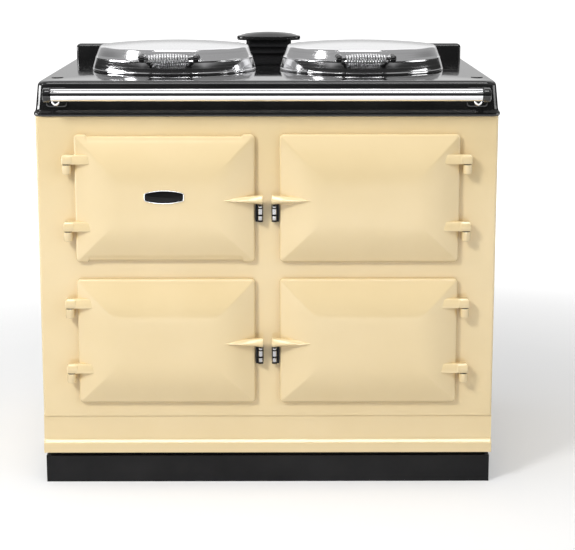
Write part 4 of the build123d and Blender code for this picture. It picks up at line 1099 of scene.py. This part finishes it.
def seen_directly(tree):
    """One where the camera, a reflection or a view through glass meets the surface, and nothing elsewhere."""
    path = tree.nodes.new("ShaderNodeLightPath")
    first = tree.nodes.new("ShaderNodeMath")
    first.operation = "MAXIMUM"
    tree.links.new(path.outputs["Is Camera Ray"], first.inputs[0])
    tree.links.new(path.outputs["Is Glossy Ray"], first.inputs[1])
    second = tree.nodes.new("ShaderNodeMath")
    second.operation = "MAXIMUM"
    tree.links.new(first.outputs["Value"], second.inputs[0])
    tree.links.new(path.outputs["Is Transmission Ray"], second.inputs[1])
    return second.outputs["Value"]


def eased_range(tree, value, span, ends):
    """A value carried smoothly from a span to two ends."""
    node = tree.nodes.new("ShaderNodeMapRange")
    node.interpolation_type = "SMOOTHSTEP"
    node.inputs["From Min"].default_value = span[0]
    node.inputs["From Max"].default_value = span[1]
    node.inputs["To Min"].default_value = ends[0]
    node.inputs["To Max"].default_value = ends[1]
    tree.links.new(value, node.inputs["Value"])
    return node.outputs["Result"]


def floor_nodes(tree):
    """Lit white, with a glow that grows with the distance from the object so that it ends in plain white."""
    diffuse = tree.nodes.new("ShaderNodeBsdfDiffuse")
    diffuse.inputs["Color"].default_value = (FLOOR_GREY, FLOOR_GREY, FLOOR_GREY, 1.0)
    place = tree.nodes.new("ShaderNodeTexCoord")
    distance = tree.nodes.new("ShaderNodeVectorMath")
    distance.operation = "LENGTH"
    tree.links.new(place.outputs["Object"], distance.inputs[0])
    grown = eased_range(tree, distance.outputs["Value"], FLOOR_GLOW_REACH, FLOOR_GLOW)
    glow = tree.nodes.new("ShaderNodeEmission")
    strength = tree.nodes.new("ShaderNodeMath")
    strength.operation = "MULTIPLY"
    tree.links.new(seen_directly(tree), strength.inputs[0])
    tree.links.new(grown, strength.inputs[1])
    tree.links.new(strength.outputs["Value"], glow.inputs["Strength"])
    both = tree.nodes.new("ShaderNodeAddShader")
    tree.links.new(diffuse.outputs["BSDF"], both.inputs[0])
    tree.links.new(glow.outputs["Emission"], both.inputs[1])
    out = tree.nodes.new("ShaderNodeOutputMaterial")
    tree.links.new(both.outputs["Shader"], out.inputs["Surface"])


def make_stage():
    half = FLOOR_HALF
    mesh = bpy.data.meshes.new("floor")
    corners = [(-half, -half, 0), (half, -half, 0), (half, half, 0), (-half, half, 0)]
    mesh.from_pydata(corners, [], [(0, 1, 2, 3)])
    mesh.materials.append(surface("floor_white", floor_nodes))
    floor = bpy.data.objects.new("floor", mesh)
    scene.collection.objects.link(floor)
    world = bpy.data.worlds.new("studio")
    world.use_nodes = True
    tree = world.node_tree
    tree.nodes.clear()
    mix = tree.nodes.new("ShaderNodeMixShader")
    for socket, strength in ((1, WORLD_FILL), (2, 1.0)):
        white = tree.nodes.new("ShaderNodeBackground")
        white.inputs["Color"].default_value = (1.0, 1.0, 1.0, 1.0)
        white.inputs["Strength"].default_value = strength
        tree.links.new(white.outputs["Background"], mix.inputs[socket])
    out = tree.nodes.new("ShaderNodeOutputWorld")
    tree.links.new(seen_directly(tree), mix.inputs["Fac"])
    tree.links.new(mix.outputs["Shader"], out.inputs["Surface"])
    scene.world = world


def board(name, corners, levels, span=(0.0, 1.0)):
    """A studio board that only reflections see, its light going from one level to another with height."""
    def nodes(tree):
        place = tree.nodes.new("ShaderNodeTexCoord")
        lean = tree.nodes.new("ShaderNodeVectorMath")
        lean.operation = "DOT_PRODUCT"
        lean.inputs[1].default_value = BOARD_LEAN
        tree.links.new(place.outputs["Object"], lean.inputs[0])
        glow = tree.nodes.new("ShaderNodeEmission")
        tree.links.new(eased_range(tree, lean.outputs["Value"], span, levels), glow.inputs["Strength"])
        out = tree.nodes.new("ShaderNodeOutputMaterial")
        tree.links.new(glow.outputs["Emission"], out.inputs["Surface"])

    mesh = bpy.data.meshes.new(name)
    mesh.from_pydata(corners, [], [(0, 1, 2, 3)])
    mesh.materials.append(surface(name, nodes))
    card = bpy.data.objects.new(name, mesh)
    scene.collection.objects.link(card)
    card.visible_camera = False
    card.visible_diffuse = False
    card.visible_shadow = False


def crosswise(half, near, far):
    """Corners of a board across the room, from its near edge at (y, z) to its far one."""
    return [(-half, *near), (half, *near), (half, *far), (-half, *far)]


def lengthwise(x, front, back, low, high):
    """Corners of an upright board along a side of the room."""
    return [(x, front, low), (x, back, low), (x, back, high), (x, front, high)]


def lamp(name, place, aim, size, power):
    """A square soft lamp that reflections don't see."""
    data = bpy.data.lights.new(name, "AREA")
    data.shape = "RECTANGLE"
    data.size = size
    data.size_y = size
    data.energy = power
    obj = bpy.data.objects.new(name, data)
    obj.location = place
    obj.rotation_euler = (Vector(aim) - Vector(place)).to_track_quat("-Z", "Y").to_euler()
    obj.visible_glossy = False
    scene.collection.objects.link(obj)


def make_lights():
    lamp("key", (-2.4, -3.2, 3.3), FRONT_AIM, 1.0, 117)
    lamp("top", (-0.4, -0.5, 3.6), (0.0, 0.0, 0.5), 2.6, 59)
    lamp("fill", (3.4, -3.4, 2.4), FRONT_AIM, 2.4, 34)

    half = ROOM_HALF_W
    front_wall = crosswise(half, (ROOM_FRONT, 0), (ROOM_FRONT, ROOM_TALL))
    board("front_board", front_wall, WALL_LEVELS, WALL_RISE)
    for name, x in (("left_board", -half), ("right_board", half)):
        board(name, lengthwise(x, ROOM_FRONT, ROOM_BACK, 0, ROOM_TALL), WALL_LEVELS, WALL_RISE)
    board("ceiling_board", crosswise(half, (ROOM_FRONT, ROOM_TALL), (2.0, ROOM_TALL)), (0.4, 0.4))
    board("back_board", crosswise(half, (ROOM_BACK, 0), (ROOM_BACK, 2.4)), (0.6, 1.0), (3.4, 4.1))

    board("strip_light", crosswise(1.3, (-1.62, 3.6), (-1.0, 3.6)), (9.0, 9.0))
    board("back_light", crosswise(2, (3.6, 2.9), (1.4, 5.1)), (1.3, 1.3))
    board("left_light", lengthwise(-2.5, -1.1, 0.4, 0, 0.95), (3.6, 3.6))
    board("right_light", lengthwise(2.5, -1.1, 0.4, 0, 0.95), (2.0, 2.0))
    board("left_edge_light", lengthwise(-2.5, -0.8, 0.4, 0.97, 1.36), (14.0, 14.0))
    board("right_edge_light", lengthwise(2.5, -0.8, 0.4, 0.97, 1.36), (3.0, 3.0))
    board("side_light", lengthwise(-3.4, -1.8, -0.7, 2.8, 3.7), (6.0, 6.0))


def make_camera():
    data = bpy.data.cameras.new("photo_camera")
    data.sensor_width = SENSOR_WIDTH
    data.lens = CAMERA_LENS
    data.shift_y = CAMERA_SHIFT
    camera = bpy.data.objects.new("photo_camera", data)
    camera.location = CAMERA_PLACE
    camera.rotation_euler = (math.radians(90 - CAMERA_DIP), 0.0, math.radians(CAMERA_YAW))
    scene.collection.objects.link(camera)
    scene.camera = camera


make_finishes()
dress_nodes()
make_doors()
make_lids()
make_skirt()
make_top_plate()
make_upstand()
make_plugs()
make_rail()
make_brackets()
make_pintles()
make_badge()
make_knobs()
make_wool()
make_stage()
make_lights()
make_camera()
